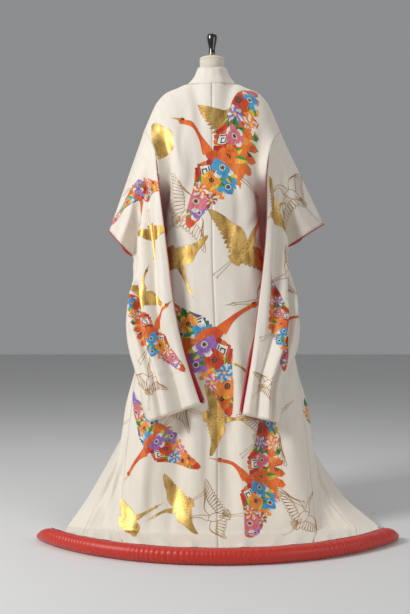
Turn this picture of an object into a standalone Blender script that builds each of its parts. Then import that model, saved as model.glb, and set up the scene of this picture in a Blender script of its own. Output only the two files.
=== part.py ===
"""Wedding over-robe on a dress form: ivory silk, red lining, long sleeves, padded hem.

Metres, +Z up. The back of the robe faces -Y, its right side is at +X, and the origin
is the middle of the stand's base on the floor. Each cloth panel is a thin closed wall.
All panels share one set of points, so that their walls meet along every seam.
"""
import math
from collections import namedtuple

import bmesh
import bpy
import numpy as np

# Cloth walls, measured through the cloth
SILK = 0.0016
LINING = 0.0010
COLLAR_BAND = 0.0030
LAYER_GAP = 0.0003
SEAM_GAP = 0.0003
SHARPEST_FOLD = 0.30

# Cut of the robe
NECK_HALF = 0.090
SHOULDER_WIDTH = 0.345
SLEEVE_WIDTH = 0.350
SLEEVE_LENGTH = 1.050
SLEEVE_CORNER = 0.055
BACK_HEM = 0.300
FRONT_HEM = 0.230
OVERLAP_HEM = 0.130
HALF_HEM = BACK_HEM + FRONT_HEM + OVERLAP_HEM

COLLAR_WIDTH = 0.055

# Heights where the pieces begin and end
ARMPIT_HEIGHT = 1.220
SLIT_END = 1.100
COLLAR_END = 0.785

# The robe's lower part hangs a little to its right
LEAN = 0.016
LEAN_TOP = 1.000
LEAN_DROP = 0.550

# Padded hem roll, an arc round a point near the robe's axis
HEM_CENTRE_X = LEAN
HEM_CENTRE_Y = -0.050
HEM_RADIUS = 0.680
HEM_HALF_ANGLE = 0.930
ROLL_HALF_ANGLE = 1.020
ROLL_RADIUS = 0.025
ROLL_CENTRE = 0.0235
ROLL_TAPER = 0.090
ROLL_TIP = 0.35
ROLL_SIDES = 10
ROLL_STATIONS = 44
ROLL_CLEARANCE = 0.0018
TRAIN_HEIGHT = 0.0055
PUCKER_RISE = 0.005
PUCKER_START = 0.2
PUCKER_LENGTH = 0.6
SETTLE_POWER = 8

# Panel mesh: spaces across each panel and rows down it
ARC_POINTS = 24
NECK_SPACES = 3
PANEL_SPACES = 6
OVERLAP_SPACES = 2
YOKE_SHARES = (0.0, 0.09, 0.22, 0.42, 0.70)
YOKE_ROWS = len(YOKE_SHARES)
OVERLAP_START_ROW = 4
BODY_HEIGHTS = (1.22, 1.16, 1.10, 1.00, 0.90, 0.80, 0.77, 0.69, 0.60, 0.50, 0.41, 0.32, 0.23,
                0.15, 0.08, 0.03, 0.012)
TRAIN_SHARES = (0.08, 0.30, 0.55, 0.80, 1.00)
CLIMB_ANGLES = (170.0, 148.0, 126.0)
SLEEVE_ACROSS = (0, 0.11, 0.22, 0.33, 0.44, 0.55, 0.66, 0.77, 0.88, 0.965, 1)
SLEEVE_CUFF = 0.23
SLEEVE_DOWN = (0.30, 0.37, 0.44, 0.51, 0.58, 0.65, 0.72, 0.79, 0.86, 0.93, 0.985, 1)
LINING_EDGE = 0.090

RED = (0.560, 0.026, 0.014)
IVORY = (0.840, 0.800, 0.720)
Finish = namedtuple("Finish", "colour roughness metallic")
FINISHES = {
    "ivory_silk": Finish(IVORY, 0.55, 0.0),
    "red_silk": Finish(RED, 0.40, 0.0),
    "cream_jersey": Finish((0.780, 0.730, 0.640), 0.85, 0.0),
    "brass": Finish((0.420, 0.330, 0.160), 0.35, 1.0),
    "black_lacquer": Finish((0.012, 0.011, 0.011), 0.15, 0.0),
    "grey_metal": Finish((0.180, 0.180, 0.190), 0.35, 1.0),
}

# Shoulder fold of one side: cloth distance from the centre back, and place
Shoulder = namedtuple("Shoulder", "along x y z")
SHOULDER = (
    Shoulder(0.000, 0.000, -0.070, 1.552),
    Shoulder(0.045, 0.043, -0.058, 1.554),
    Shoulder(0.090, 0.090, 0.000, 1.562),
    Shoulder(0.140, 0.137, 0.000, 1.543),
    Shoulder(0.185, 0.178, 0.000, 1.523),
    Shoulder(0.215, 0.200, 0.000, 1.497),
    Shoulder(0.280, 0.228, 0.000, 1.438),
    Shoulder(0.345, 0.250, 0.000, 1.385),
)

# Level sections of one side of the robe, from the armpits to the floor. The free edge
# is the collar's own edge down to the collar's end, and the overlap's below it.
Level = namedtuple("Level", "height centre_y side_x side_y seam_x seam_y edge_x edge_y")
UPPER_LEVELS = (
    Level(1.22, -0.145, 0.203, -0.030, 0.125, 0.138, 0.060, 0.153),
    Level(1.10, -0.160, 0.200, -0.040, 0.150, 0.135, 0.053, 0.167),
    Level(0.95, -0.180, 0.214, -0.050, 0.172, 0.125, 0.052, 0.183),
    Level(0.80, -0.203, 0.236, -0.070, 0.200, 0.110, 0.060, 0.205),
    Level(0.65, -0.228, 0.265, -0.105, 0.228, 0.080, 0.112, 0.198),
)
RIGHT_LEVELS = UPPER_LEVELS + (
    Level(0.50, -0.255, 0.288, -0.150, 0.268, 0.015, 0.195, 0.140),
    Level(0.35, -0.283, 0.303, -0.200, 0.312, -0.065, 0.270, 0.050),
    Level(0.20, -0.315, 0.317, -0.250, 0.350, -0.145, 0.372, -0.035),
    Level(0.08, -0.345, 0.325, -0.300, 0.402, -0.245, 0.455, -0.180),
    Level(0.012, -0.375, 0.330, -0.335, 0.465, -0.300, 0.545, -0.265),
)
LEFT_LEVELS = UPPER_LEVELS + (
    Level(0.50, -0.255, 0.288, -0.150, 0.278, 0.000, 0.245, 0.085),
    Level(0.35, -0.283, 0.303, -0.200, 0.318, -0.085, 0.307, -0.005),
    Level(0.20, -0.315, 0.317, -0.250, 0.361, -0.160, 0.387, -0.070),
    Level(0.08, -0.345, 0.325, -0.300, 0.413, -0.255, 0.456, -0.200),
    Level(0.012, -0.375, 0.330, -0.335, 0.440, -0.300, 0.505, -0.270),
)
ARMPIT_BACK = (0.190, -0.140)
ARMPIT_FRONT = (0.203, 0.085)

# Inner and outer edges of the hanging sleeves, below the armhole and the cuff
InnerEdge = namedtuple("InnerEdge", "height back_x back_y front_x front_y")
OuterEdge = namedtuple("OuterEdge", "height x y")
Sleeve = namedtuple("Sleeve", "cuff_top cuff_end inner outer")
RIGHT_SLEEVE = Sleeve(
    cuff_top=(0.408, 0.000, 1.053),
    cuff_end=(0.270, -0.030, 0.965),
    inner=(
        InnerEdge(1.220, 0.190, -0.140, 0.203, 0.085),
        InnerEdge(1.130, 0.188, -0.160, 0.205, 0.078),
        InnerEdge(1.050, 0.185, -0.178, 0.210, 0.040),
        InnerEdge(0.970, 0.179, -0.192, 0.223, -0.035),
        InnerEdge(0.900, 0.172, -0.205, 0.222, -0.110),
        InnerEdge(0.750, 0.152, -0.240, 0.170, -0.222),
        InnerEdge(0.600, 0.132, -0.270, 0.125, -0.258),
        InnerEdge(0.392, 0.0945, -0.325, 0.085, -0.310),
    ),
    outer=(
        OuterEdge(0.965, 0.270, -0.030),
        OuterEdge(0.848, 0.276, -0.080),
        OuterEdge(0.685, 0.307, -0.160),
        OuterEdge(0.600, 0.292, -0.212),
        OuterEdge(0.502, 0.244, -0.262),
        OuterEdge(0.357, 0.235, -0.290),
    ),
)
LEFT_SLEEVE = Sleeve(
    cuff_top=(0.376, 0.000, 1.027),
    cuff_end=(0.288, -0.030, 0.932),
    inner=(
        InnerEdge(1.220, 0.190, -0.140, 0.203, 0.085),
        InnerEdge(1.130, 0.177, -0.162, 0.205, 0.078),
        InnerEdge(1.050, 0.167, -0.182, 0.210, 0.040),
        InnerEdge(0.970, 0.156, -0.198, 0.223, -0.035),
        InnerEdge(0.900, 0.147, -0.210, 0.219, -0.110),
        InnerEdge(0.757, 0.1275, -0.240, 0.155, -0.222),
        InnerEdge(0.600, 0.093, -0.270, 0.090, -0.258),
        InnerEdge(0.428, 0.037, -0.325, 0.020, -0.310),
    ),
    outer=(
        OuterEdge(0.932, 0.288, -0.030),
        OuterEdge(0.848, 0.283, -0.080),
        OuterEdge(0.720, 0.302, -0.148),
        OuterEdge(0.640, 0.296, -0.192),
        OuterEdge(0.482, 0.249, -0.268),
        OuterEdge(0.357, 0.228, -0.290),
    ),
)
CUFF_BULGE = 0.075
CUFF_ROUND = 2.0
SLEEVE_ROOM = 0.014
TOP_ROOM = 0.05
INNER_ROOM = 0.45
INNER_FADE = 0.10
OUTER_FADE = 0.25
ARMPIT_GAP = 0.003
INNER_DROP = 0.72
OUTER_DROP = 1.15
SLEEVE_SEAM_ROOM = 0.035
SLEEVE_BOTTOM_ROOM = 0.015

# Folds. Across runs from 0 at the centre back to 1 at the side seam, 2 at the front
# seam and 3 at the free edge. Depth is outwards, so a valley is negative.
Fold = namedtuple("Fold", "side top bottom across_top across_bottom width depth")
BODY_FOLDS = (
    Fold("both", 1.38, 0.86, 0.80, 0.84, 0.17, -0.026),
    Fold("both", 1.30, 0.70, 0.55, 0.58, 0.18, 0.010),
    Fold("right", 0.52, 0.02, 0.10, 0.13, 0.10, -0.012),
    Fold("right", 0.54, 0.02, 0.27, 0.30, 0.14, 0.015),
    Fold("right", 0.52, 0.02, 0.50, 0.56, 0.14, -0.018),
    Fold("right", 0.44, 0.02, 0.76, 0.82, 0.14, 0.014),
    Fold("left", 0.50, 0.02, 0.20, 0.20, 0.14, 0.012),
    Fold("left", 0.50, 0.02, 0.40, 0.46, 0.14, -0.018),
    Fold("left", 0.44, 0.02, 0.66, 0.74, 0.15, 0.018),
    Fold("both", 0.55, 0.02, 1.50, 1.50, 0.30, 0.022),
    Fold("both", 0.95, 0.10, 1.20, 1.16, 0.14, -0.014),
    Fold("both", 0.90, 0.05, 1.84, 1.84, 0.16, -0.012),
)
SLEEVE_FOLDS = (
    Fold("both", 0.14, 1.20, 0.14, 0.15, 0.18, 0.018),
    Fold("both", 0.14, 1.20, 0.50, 0.53, 0.20, 0.046),
    Fold("both", 0.34, 1.20, 0.83, 0.84, 0.15, 0.038),
    Fold("both", 0.24, 0.70, 0.74, 0.84, 0.17, 0.022),
)
BODY_FADE = 0.10
SLEEVE_FADE = 0.20

# How the cloth leaves the nape and the shoulder fold, outwards and up, and how it
# comes down to the armpits
NAPE_FALL = np.array([0.0, 0.035, -0.070])
SHOULDER_FALL = np.array([0.0, 0.095, 0.0])
ARMPIT_RISE = np.array([0.0, 0.0, 0.110])

# Free edge of the standing collar, by distance from the nape along its seam
CollarPoint = namedtuple("CollarPoint", "along x y z")
COLLAR_EDGE = (
    CollarPoint(0.00, 0.0000, -0.0565, 1.612),
    CollarPoint(0.05, 0.0360, -0.0430, 1.616),
    CollarPoint(0.10, 0.0545, 0.0000, 1.621),
    CollarPoint(0.16, 0.0530, 0.0450, 1.585),
    CollarPoint(0.26, 0.0570, 0.1000, 1.490),
    CollarPoint(0.36, 0.0605, 0.1320, 1.370),
    CollarPoint(0.47, 0.0600, 0.1530, 1.220),
)

# Dress form sections
Ring = namedtuple("Ring", "height half_width half_depth centre_y")
TORSO = (
    Ring(0.860, 0.150, 0.092, 0.000),
    Ring(0.868, 0.163, 0.104, 0.000),
    Ring(0.950, 0.170, 0.114, 0.000),
    Ring(1.050, 0.140, 0.099, 0.000),
    Ring(1.150, 0.115, 0.085, 0.003),
    Ring(1.240, 0.128, 0.096, 0.010),
    Ring(1.320, 0.143, 0.106, 0.016),
    Ring(1.400, 0.149, 0.094, 0.010),
    Ring(1.460, 0.158, 0.076, 0.004),
    Ring(1.500, 0.163, 0.062, 0.002),
    Ring(1.521, 0.158, 0.050, 0.001),
    Ring(1.5390, 0.134, 0.042, 0.000),
    Ring(1.5575, 0.084, 0.036, 0.000),
    Ring(1.566, 0.064, 0.040, 0.000),
    Ring(1.578, 0.051, 0.0440, 0.000),
    Ring(1.600, 0.0455, 0.0455, 0.000),
    Ring(1.649, 0.0450, 0.0450, 0.000),
)
TORSO_SIDES = 24
Turned = namedtuple("Turned", "radius height")
NECK_CAP = (Turned(0.0, 1.6493), Turned(0.0480, 1.6493), Turned(0.0485, 1.6530),
            Turned(0.0460, 1.6570), Turned(0.0380, 1.6605), Turned(0.0250, 1.6625),
            Turned(0.0, 1.6632))
FLANGE = (Turned(0.0, 1.6635), Turned(0.0155, 1.6635), Turned(0.0160, 1.6660),
          Turned(0.0150, 1.6700), Turned(0.0118, 1.6715), Turned(0.0112, 1.6760),
          Turned(0.0, 1.6760))
KNOB = (Turned(0.0, 1.6763), Turned(0.0118, 1.6763), Turned(0.0112, 1.6880),
        Turned(0.0130, 1.7020), Turned(0.0165, 1.7180), Turned(0.0182, 1.7310),
        Turned(0.0172, 1.7420), Turned(0.0120, 1.7485), Turned(0.0, 1.7505))
BASE = (Turned(0.0, 0.0), Turned(0.1880, 0.0), Turned(0.1900, 0.0040), Turned(0.1850, 0.0110),
        Turned(0.1200, 0.0190), Turned(0.0300, 0.0230), Turned(0.0240, 0.0300),
        Turned(0.0220, 0.0600), Turned(0.0, 0.0600))
POLE = (Turned(0.0, 0.0603), Turned(0.0125, 0.0603), Turned(0.0125, 0.8597),
        Turned(0.0, 0.8597))
TURNED_SIDES = 24


def clear_scene():
    """Remove what a new Blender file holds."""
    for thing in list(bpy.data.objects):
        bpy.data.objects.remove(thing)


def table_columns(rows, *names):
    """The named columns of a table, as one array with a row for each table row."""
    return np.array([[getattr(row, name) for name in names] for row in rows])


def smooth(knots, values, at):
    """Values on the smooth curve through the given ones; the knots go upwards."""
    knots = np.asarray(knots, float)
    values = np.asarray(values, float)
    at = np.asarray(at, float)
    slopes = np.gradient(values, knots, axis=0)
    low = np.clip(np.searchsorted(knots, at, side="right") - 1, 0, len(knots) - 2)
    span = (knots[low + 1] - knots[low])[..., None]
    share = (at[..., None] - knots[low][..., None]) / span
    square = share * share
    cube = square * share
    start = values[low] * (2 * cube - 3 * square + 1)
    end = values[low + 1] * (3 * square - 2 * cube)
    leaving = slopes[low] * span * (cube - 2 * square + share)
    arriving = slopes[low + 1] * span * (cube - square)
    return start + end + leaving + arriving


def by_height(rows, heights, *names):
    """Columns of a table that is listed from the top down, at new heights."""
    table = table_columns(rows, "height", *names)
    return smooth(-table[:, 0], table[:, 1:], -np.asarray(heights, float))


def spread(curve, shares):
    """Points of a fine curve at shares of its length."""
    steps = np.linalg.norm(np.diff(curve, axis=0), axis=1)
    along = np.concatenate(([0.0], np.cumsum(steps)))
    along = along / along[-1]
    return np.column_stack([np.interp(shares, along, curve[:, axis]) for axis in range(3)])


def hat(distance):
    """A round bump, 1 in the middle and 0 from a distance of 1 outwards."""
    return np.where(np.abs(distance) < 1, np.cos(distance * math.pi / 2) ** 2, 0.0)


def ease(share):
    """A soft step from 0 to 1."""
    share = np.clip(share, 0, 1)
    return share * share * (3 - 2 * share)


def bezier(start, first, second, end, shares):
    """Points of a cubic curve."""
    share = np.asarray(shares)[:, None]
    rest = 1 - share
    return (start * rest ** 3 + first * 3 * rest ** 2 * share
            + second * 3 * rest * share ** 2 + end * share ** 3)


def fold_depth(folds, side, across, down, fade):
    """Depth of all folds of one side at each point; down grows towards the hem."""
    depth = np.zeros_like(across)
    for fold in folds:
        if fold.side not in ("both", side):
            continue
        top, bottom = sorted((fold.top, fold.bottom))
        share = np.clip((down - fold.top) / (fold.bottom - fold.top), 0, 1)
        middle = fold.across_top + (fold.across_bottom - fold.across_top) * share
        strength = ease((down - top) / fade) * ease((bottom - down) / fade)
        depth += fold.depth * hat((across - middle) / fold.width) * strength
    return depth


def quarter_arc(start, end, start_is_flat, height):
    """A quarter of an ellipse between two level points."""
    turn = np.linspace(0, math.pi / 2, ARC_POINTS)
    early, late = np.sin(turn), 1 - np.cos(turn)
    rise, run = (late, early) if start_is_flat else (early, late)
    x = start[0] + (end[0] - start[0]) * run
    y = start[1] + (end[1] - start[1]) * rise
    return np.column_stack([x, y, np.full(ARC_POINTS, height)])


class RobeSide:
    """The grids of points of one side of the robe, worked out at positive X.

    The rows of back and front run from the shoulder fold to the hem roll. The back's
    columns run from the centre seam to the side seam, the front's from there to the
    front seam, and the overlap's from there to its free edge.
    """

    def __init__(self, side):
        self.side = side
        self.levels = RIGHT_LEVELS if side == "right" else LEFT_LEVELS
        self.sleeve = RIGHT_SLEEVE if side == "right" else LEFT_SLEEVE
        neck_share = NECK_HALF / SHOULDER_WIDTH
        neck = np.linspace(0, neck_share, NECK_SPACES + 1)
        rest = np.linspace(neck_share, 1, PANEL_SPACES + 1)
        self.back_shares = np.concatenate([neck, rest[1:]])
        self.front_shares = np.linspace(0, 1, PANEL_SPACES + 1)
        self.overlap_shares = np.linspace(0, 1, OVERLAP_SPACES + 1)
        self.heights = np.array(BODY_HEIGHTS)
        self.to_right = 1.0 if side == "right" else -1.0
        self.body_sections()
        self.back = np.vstack([self.back_yoke(), self.back_body, self.train(self.back_body, "back")])
        self.front = np.vstack([self.front_yoke(), self.front_body,
                                self.train(self.front_body, "front")])
        self.overlap = self.overlap_panel()
        self.fold_panels()
        self.sleeve_back, self.sleeve_front = self.sleeve_layers()

    def body_sections(self):
        """Sections of back, front and overlap at each body height."""
        columns = ("centre_y", "side_x", "side_y", "seam_x", "seam_y", "edge_x", "edge_y")
        sections = by_height(self.levels, self.heights, *columns)
        back, front, overlap = [], [], []
        for height, (centre_y, side_x, side_y, seam_x, seam_y, edge_x, edge_y) in zip(
                self.heights, sections):
            slit = np.clip((height - SLIT_END) / (ARMPIT_HEIGHT - SLIT_END), 0, 1)
            side_point = np.array([side_x, side_y])
            back_side = side_point + (np.array(ARMPIT_BACK) - side_point) * slit
            front_side = side_point + (np.array(ARMPIT_FRONT) - side_point) * slit
            seam = np.array([seam_x, seam_y])
            back_curve = quarter_arc((0, centre_y), back_side, True, height)
            front_curve = quarter_arc(front_side, seam, False, height)
            edge = np.array([edge_x, edge_y])
            if height > COLLAR_END:
                edge += (seam - edge) * COLLAR_WIDTH / np.linalg.norm(seam - edge)
            overlap_curve = np.array([(seam_x, seam_y, height), (*edge, height)])
            back.append(spread(back_curve, self.back_shares))
            front.append(spread(front_curve, self.front_shares))
            overlap.append(spread(overlap_curve, self.overlap_shares))
        self.back_body = np.array(back)
        self.front_body = np.array(front)
        self.overlap_body = np.array(overlap)
        self.collar_edge = np.column_stack([sections[:, 5:7], self.heights])
        for grid in (self.back_body, self.front_body, self.overlap_body, self.collar_edge):
            grid[..., 0] += self.to_right * lean(grid[..., 2])

    def shoulder_line(self, shares):
        """Points of the shoulder fold, by share of the shoulder's width."""
        table = table_columns(SHOULDER, "along", "x", "y", "z")
        return smooth(table[:, 0], table[:, 1:], np.asarray(shares) * SHOULDER_WIDTH)

    def yoke(self, top, bottom, out):
        """Rows from the shoulder fold down to the armpits; out is -1 for the back."""
        beyond_neck = ease((top[:, 0] - NECK_HALF / 2) / (NECK_HALF / 2))
        columns = []
        for start, end, level in zip(top, bottom, beyond_neck):
            leave = (NAPE_FALL + (SHOULDER_FALL - NAPE_FALL) * level) * np.array([1, out, 1])
            columns.append(bezier(start, start + leave, end + ARMPIT_RISE, end, YOKE_SHARES))
        return np.swapaxes(np.array(columns), 0, 1)

    def back_yoke(self):
        return self.yoke(self.shoulder_line(self.back_shares), self.back_body[0], -1)

    def front_yoke(self):
        neck_share = NECK_HALF / SHOULDER_WIDTH
        shares = np.linspace(1, neck_share, PANEL_SPACES + 1)
        return self.yoke(self.shoulder_line(shares), self.front_body[0], 1)

    def hem_angles(self, panel):
        """Angle round the hem's arc of each column of a panel."""
        shares, start, width = {
            "back": (self.back_shares, 0, BACK_HEM),
            "front": (self.front_shares, BACK_HEM, FRONT_HEM),
            "overlap": (self.overlap_shares, BACK_HEM + FRONT_HEM, OVERLAP_HEM),
        }[panel]
        return (start + shares * width) / HALF_HEM * HEM_HALF_ANGLE

    def train(self, body, panel):
        """Rows on the floor from the foot of the robe to the roll, then up the roll."""
        angles = self.hem_angles(panel)
        foot = body[-1]
        centre_x = self.to_right * HEM_CENTRE_X
        clear = ROLL_RADIUS + SILK + ROLL_CLEARANCE
        rows = []
        for share in TRAIN_SHARES:
            end = hem_point(angles, centre_x, HEM_RADIUS - clear - SILK, 0.0)
            row = foot + (end - foot) * share
            gather = ease((share - PUCKER_START) / PUCKER_LENGTH)
            pucker = PUCKER_RISE * gather * (np.arange(len(angles)) % 2)
            settled = (foot[:, 2] - TRAIN_HEIGHT) * (1 - share) ** SETTLE_POWER
            row[:, 2] = TRAIN_HEIGHT + settled + pucker
            rows.append(row)
        for degrees in CLIMB_ANGLES:
            turn = math.radians(degrees)
            rows.append(hem_point(angles, centre_x, HEM_RADIUS + clear * math.cos(turn),
                                  ROLL_CENTRE + clear * math.sin(turn)))
        return np.array(rows)

    def overlap_panel(self):
        """The overlap, from its point on the front edge down to the hem."""
        seam = self.front[OVERLAP_START_ROW:YOKE_ROWS, -1]
        share = np.linspace(0, 1, YOKE_ROWS - OVERLAP_START_ROW + 1)[:-1, None]
        reach = (self.overlap_body[0, -1] - self.overlap_body[0, 0]) * share
        top = np.array([seam + reach * across for across in self.overlap_shares])
        return np.vstack([np.swapaxes(top, 0, 1), self.overlap_body,
                          self.train(self.overlap_body, "overlap")])

    def fold_panels(self):
        """Press the folds into back, front and overlap."""
        panels = ((self.back, self.back_shares), (self.front, 1 + self.front_shares),
                  (self.overlap, 2 + self.overlap_shares))
        for grid, across in panels:
            spans = np.broadcast_to(across, grid.shape[:2]).copy()
            depth = fold_depth(BODY_FOLDS, self.side, spans, grid[:, :, 2], BODY_FADE)
            grid += grid_normals(grid, level_only=True) * depth[:, :, None]

    def armhole(self, layer):
        """The body's armhole edge, which the sleeve's inner edge starts with."""
        panel = self.back[:, -1] if layer == "back" else self.front[:, 0]
        return panel[:YOKE_ROWS + 1]

    def sleeve_inner(self, layer):
        """Inner edge of a sleeve layer: the armhole, then the open edge below it."""
        armhole = self.armhole(layer)
        bottom = self.sleeve.inner[-1].height
        share = (np.array(SLEEVE_DOWN) - SLEEVE_CUFF) / (1 - SLEEVE_CUFF)
        heights = armhole[-1, 2] + (bottom - armhole[-1, 2]) * share ** INNER_DROP
        edge = by_height(self.sleeve.inner, heights, layer + "_x", layer + "_y")
        line = np.vstack([armhole, np.column_stack([edge, heights])])
        line[YOKE_ROWS:, 0] += ARMPIT_GAP
        return line

    def sleeve_outer(self, out):
        """Outer edge: the cuff's opening, bulging to one side, then the closed seam."""
        share = np.linspace(0, 1, YOKE_ROWS + 1)[:, None]
        top = np.array(self.sleeve.cuff_top)
        end = np.array(self.sleeve.cuff_end)
        cuff = top + (end - top) * share
        cuff[:, 1] += out * CUFF_BULGE * np.sin(math.pi * share[:, 0]) ** CUFF_ROUND
        below = (np.array(SLEEVE_DOWN) - SLEEVE_CUFF) / (1 - SLEEVE_CUFF)
        heights = end[2] + (self.sleeve.outer[-1].height - end[2]) * below ** OUTER_DROP
        edge = by_height(self.sleeve.outer, heights, "x", "y")
        return np.vstack([cuff, np.column_stack([edge, heights])])

    def sleeve_layers(self):
        """Back and front layer of the sleeve, with the same rows and columns."""
        down = np.concatenate([np.linspace(0, SLEEVE_CUFF, YOKE_ROWS + 1), SLEEVE_DOWN])
        across = np.array(SLEEVE_ACROSS, float)
        inner = self.sleeve_inner("back")
        outer = self.sleeve_outer(-1)
        inner_room = self.sleeve_inner("front") - inner
        outer_room = self.sleeve_outer(1) - outer
        columns, rows = np.meshgrid(across, down)
        outward = grid_normals(between(inner, outer, down, columns, rows), level_only=True)
        columns, rows = rounded_corner(across, down)
        back = between(inner, outer, down, columns, rows)
        folds = fold_depth(SLEEVE_FOLDS, self.side, columns, rows, SLEEVE_FADE)[:, :, None]
        folds = folds * (ease(columns / INNER_FADE) * ease((1 - columns) / OUTER_FADE))[:, :, None]
        seam_room = np.clip((1 - columns) / SLEEVE_SEAM_ROOM, 0, 1)
        seam_room[:YOKE_ROWS] = 1
        bottom_room = np.clip((1 - down) / SLEEVE_BOTTOM_ROOM, 0, 1)[:, None]
        start_room = (ease(down / TOP_ROOM)[:, None] * ease(across / INNER_ROOM)[None, :])
        room = SLEEVE_ROOM * seam_room * bottom_room * start_room
        front = back + inner_room[:, None] * (1 - across)[None, :, None]
        front += outer_room[:, None] * across[None, :, None]
        front -= outward * room[:, :, None]
        return back + outward * folds, front


def lean(height):
    """How far the robe's body stands to its right at a height."""
    return LEAN * ease((LEAN_TOP - height) / LEAN_DROP)


def hem_point(angles, centre_x, radius, height):
    """Points on an arc round the hem's centre; angle 0 is straight behind."""
    return np.column_stack([centre_x + radius * np.sin(angles),
                            HEM_CENTRE_Y - radius * np.cos(angles),
                            np.full(len(angles), height)])


def between(inner, outer, down, columns, rows):
    """Points between two edges, by their shares across and down."""
    grid = np.zeros(columns.shape + (3,))
    for axis in range(3):
        start = np.interp(rows, down, inner[:, axis])
        end = np.interp(rows, down, outer[:, axis])
        grid[:, :, axis] = start + (end - start) * columns
    return grid


def rounded_corner(across, down):
    """Grid shares with the sleeve's outer lower corner drawn in to a round."""
    columns, rows = np.meshgrid(across, down)
    from_edge = SLEEVE_CORNER - (1 - columns) * SLEEVE_WIDTH
    from_bottom = SLEEVE_CORNER - (1 - rows) * SLEEVE_LENGTH
    inside = (from_edge > 0) & (from_bottom > 0)
    reach = np.hypot(from_edge, from_bottom) + 1e-9
    shrink = np.where(inside, np.maximum(from_edge, from_bottom) / reach, 1.0)
    columns = 1 - (SLEEVE_CORNER - from_edge * shrink) / SLEEVE_WIDTH
    rows = 1 - (SLEEVE_CORNER - from_bottom * shrink) / SLEEVE_LENGTH
    return columns, rows


def grid_normals(grid, level_only=False):
    """Outward directions of a grid whose rows go down and columns go to the right."""
    down = np.gradient(grid, axis=0)
    right = np.gradient(grid, axis=1)
    normals = np.cross(down, right)
    if level_only:
        normals[:, :, 2] = 0
    length = np.linalg.norm(normals, axis=2, keepdims=True)
    return normals / np.maximum(length, 1e-9)


class Cloth:
    """All the robe's points, and the four-sided cells of each panel by point number."""

    def __init__(self):
        self.points = []
        self.panels = {}

    def add_points(self, grid):
        """Number the points of a grid."""
        first = len(self.points)
        self.points.extend(np.reshape(grid, (-1, 3)))
        return np.arange(first, len(self.points)).reshape(grid.shape[:2])

    def add_panel(self, name, numbers, flip, keep=None):
        """Turn a grid of point numbers into cells; keep says which ones to use."""
        cells = self.panels.setdefault(name, [])
        for row in range(numbers.shape[0] - 1):
            for column in range(numbers.shape[1] - 1):
                if keep is not None and not keep(row, column):
                    continue
                cell = [numbers[row, column], numbers[row + 1, column],
                        numbers[row + 1, column + 1], numbers[row, column + 1]]
                cells.append([cell[0], cell[3], cell[2], cell[1]] if flip else cell)

    def finish(self):
        """Work out the offset direction of each point, once all outer panels are in."""
        self.points = np.array(self.points)
        cells = [cell for name in self.panels for cell in self.panels[name]]
        self.offsets = wall_offsets(self.points, cells)


def cell_normal(points, cell):
    """Unit normal of a cell, from its diagonals."""
    first = points[cell[2]] - points[cell[0]]
    second = points[cell[3]] - points[cell[1]]
    normal = np.cross(first, second)
    return normal / max(np.linalg.norm(normal), 1e-12)


def wall_offsets(points, cells):
    """Offset of each point per metre of wall, longer at folds so walls stay even."""
    normals = [cell_normal(points, cell) for cell in cells]
    total = np.zeros_like(points)
    for cell, normal in zip(cells, normals):
        for number in set(cell):
            total[number] += normal
    length = np.linalg.norm(total, axis=1, keepdims=True)
    mean = total / np.maximum(length, 1e-12)
    lean = np.zeros(len(points))
    count = np.zeros(len(points))
    for cell, normal in zip(cells, normals):
        for number in set(cell):
            lean[number] += mean[number] @ normal
            count[number] += 1
    evenness = lean / np.maximum(count, 1)
    return mean / np.maximum(evenness, SHARPEST_FOLD)[:, None]


def border_edges(cells):
    """Directed edges that only one cell has, with that cell."""
    edges = {}
    for cell in cells:
        for start, end in zip(cell, cell[1:] + cell[:1]):
            if start != end:
                edges[(start, end)] = cell
    return {edge: cell for edge, cell in edges.items() if edge[::-1] not in edges}


def drawn_in(points, cells, distance):
    """Shift of each border point that moves a panel's border in by a distance."""
    directions = {}
    for (start, end), cell in border_edges(cells).items():
        edge = points[end] - points[start]
        inward = np.cross(cell_normal(points, cell), edge)
        inward /= np.linalg.norm(inward)
        directions.setdefault(start, []).append(inward)
        directions.setdefault(end, []).append(inward)
    shifts = {}
    for number, found in directions.items():
        total = sum(found)
        mitre = total @ found[0]
        shifts[number] = total * distance / max(mitre, 0.5)
    return shifts


def triangles_of(cell):
    """The two triangles of a cell, or one where two of its corners are the same."""
    first, second, third, fourth = cell
    halves = ((first, second, third), (first, third, fourth))
    return [half for half in halves if len(set(half)) == 3]


def make_wall(name, cloth, cells, start, thickness, finish):
    """A closed wall between two depths under the cloth's outer face."""
    shifts = drawn_in(cloth.points, cells, SEAM_GAP / 2)
    numbers = sorted({number for cell in cells for number in cell})
    mesh = bmesh.new()
    skins = []
    for depth in (start, start + thickness):
        skin = {}
        for number in numbers:
            place = cloth.points[number] - cloth.offsets[number] * depth + shifts.get(number, 0)
            skin[number] = mesh.verts.new(place)
        skins.append(skin)
    outer, inner = skins
    for cell in cells:
        for triangle in triangles_of(cell):
            mesh.faces.new([outer[number] for number in triangle])
            mesh.faces.new([inner[number] for number in reversed(triangle)])
    for begin, end in border_edges(cells):
        add_rim(mesh, outer, inner, begin, end)
    return add_object(name, mesh, finish)


def add_rim(mesh, outer, inner, begin, end):
    """Close a wall along one border edge; two panels at a seam split it alike."""
    if begin < end:
        mesh.faces.new([outer[end], outer[begin], inner[begin]])
        mesh.faces.new([outer[end], inner[begin], inner[end]])
    else:
        mesh.faces.new([outer[end], outer[begin], inner[end]])
        mesh.faces.new([outer[begin], inner[begin], inner[end]])


def add_object(name, mesh, finish, sharp_angle=60.0):
    """Make an object of a bmesh, with its material and smooth shading."""
    data = bpy.data.meshes.new(name)
    mesh.to_mesh(data)
    mesh.free()
    data.shade_smooth()
    data.set_sharp_from_angle(angle=math.radians(sharp_angle))
    thing = bpy.data.objects.new(name, data)
    bpy.context.scene.collection.objects.link(thing)
    data.materials.append(make_material(name, FINISHES[finish]))
    return thing


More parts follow.
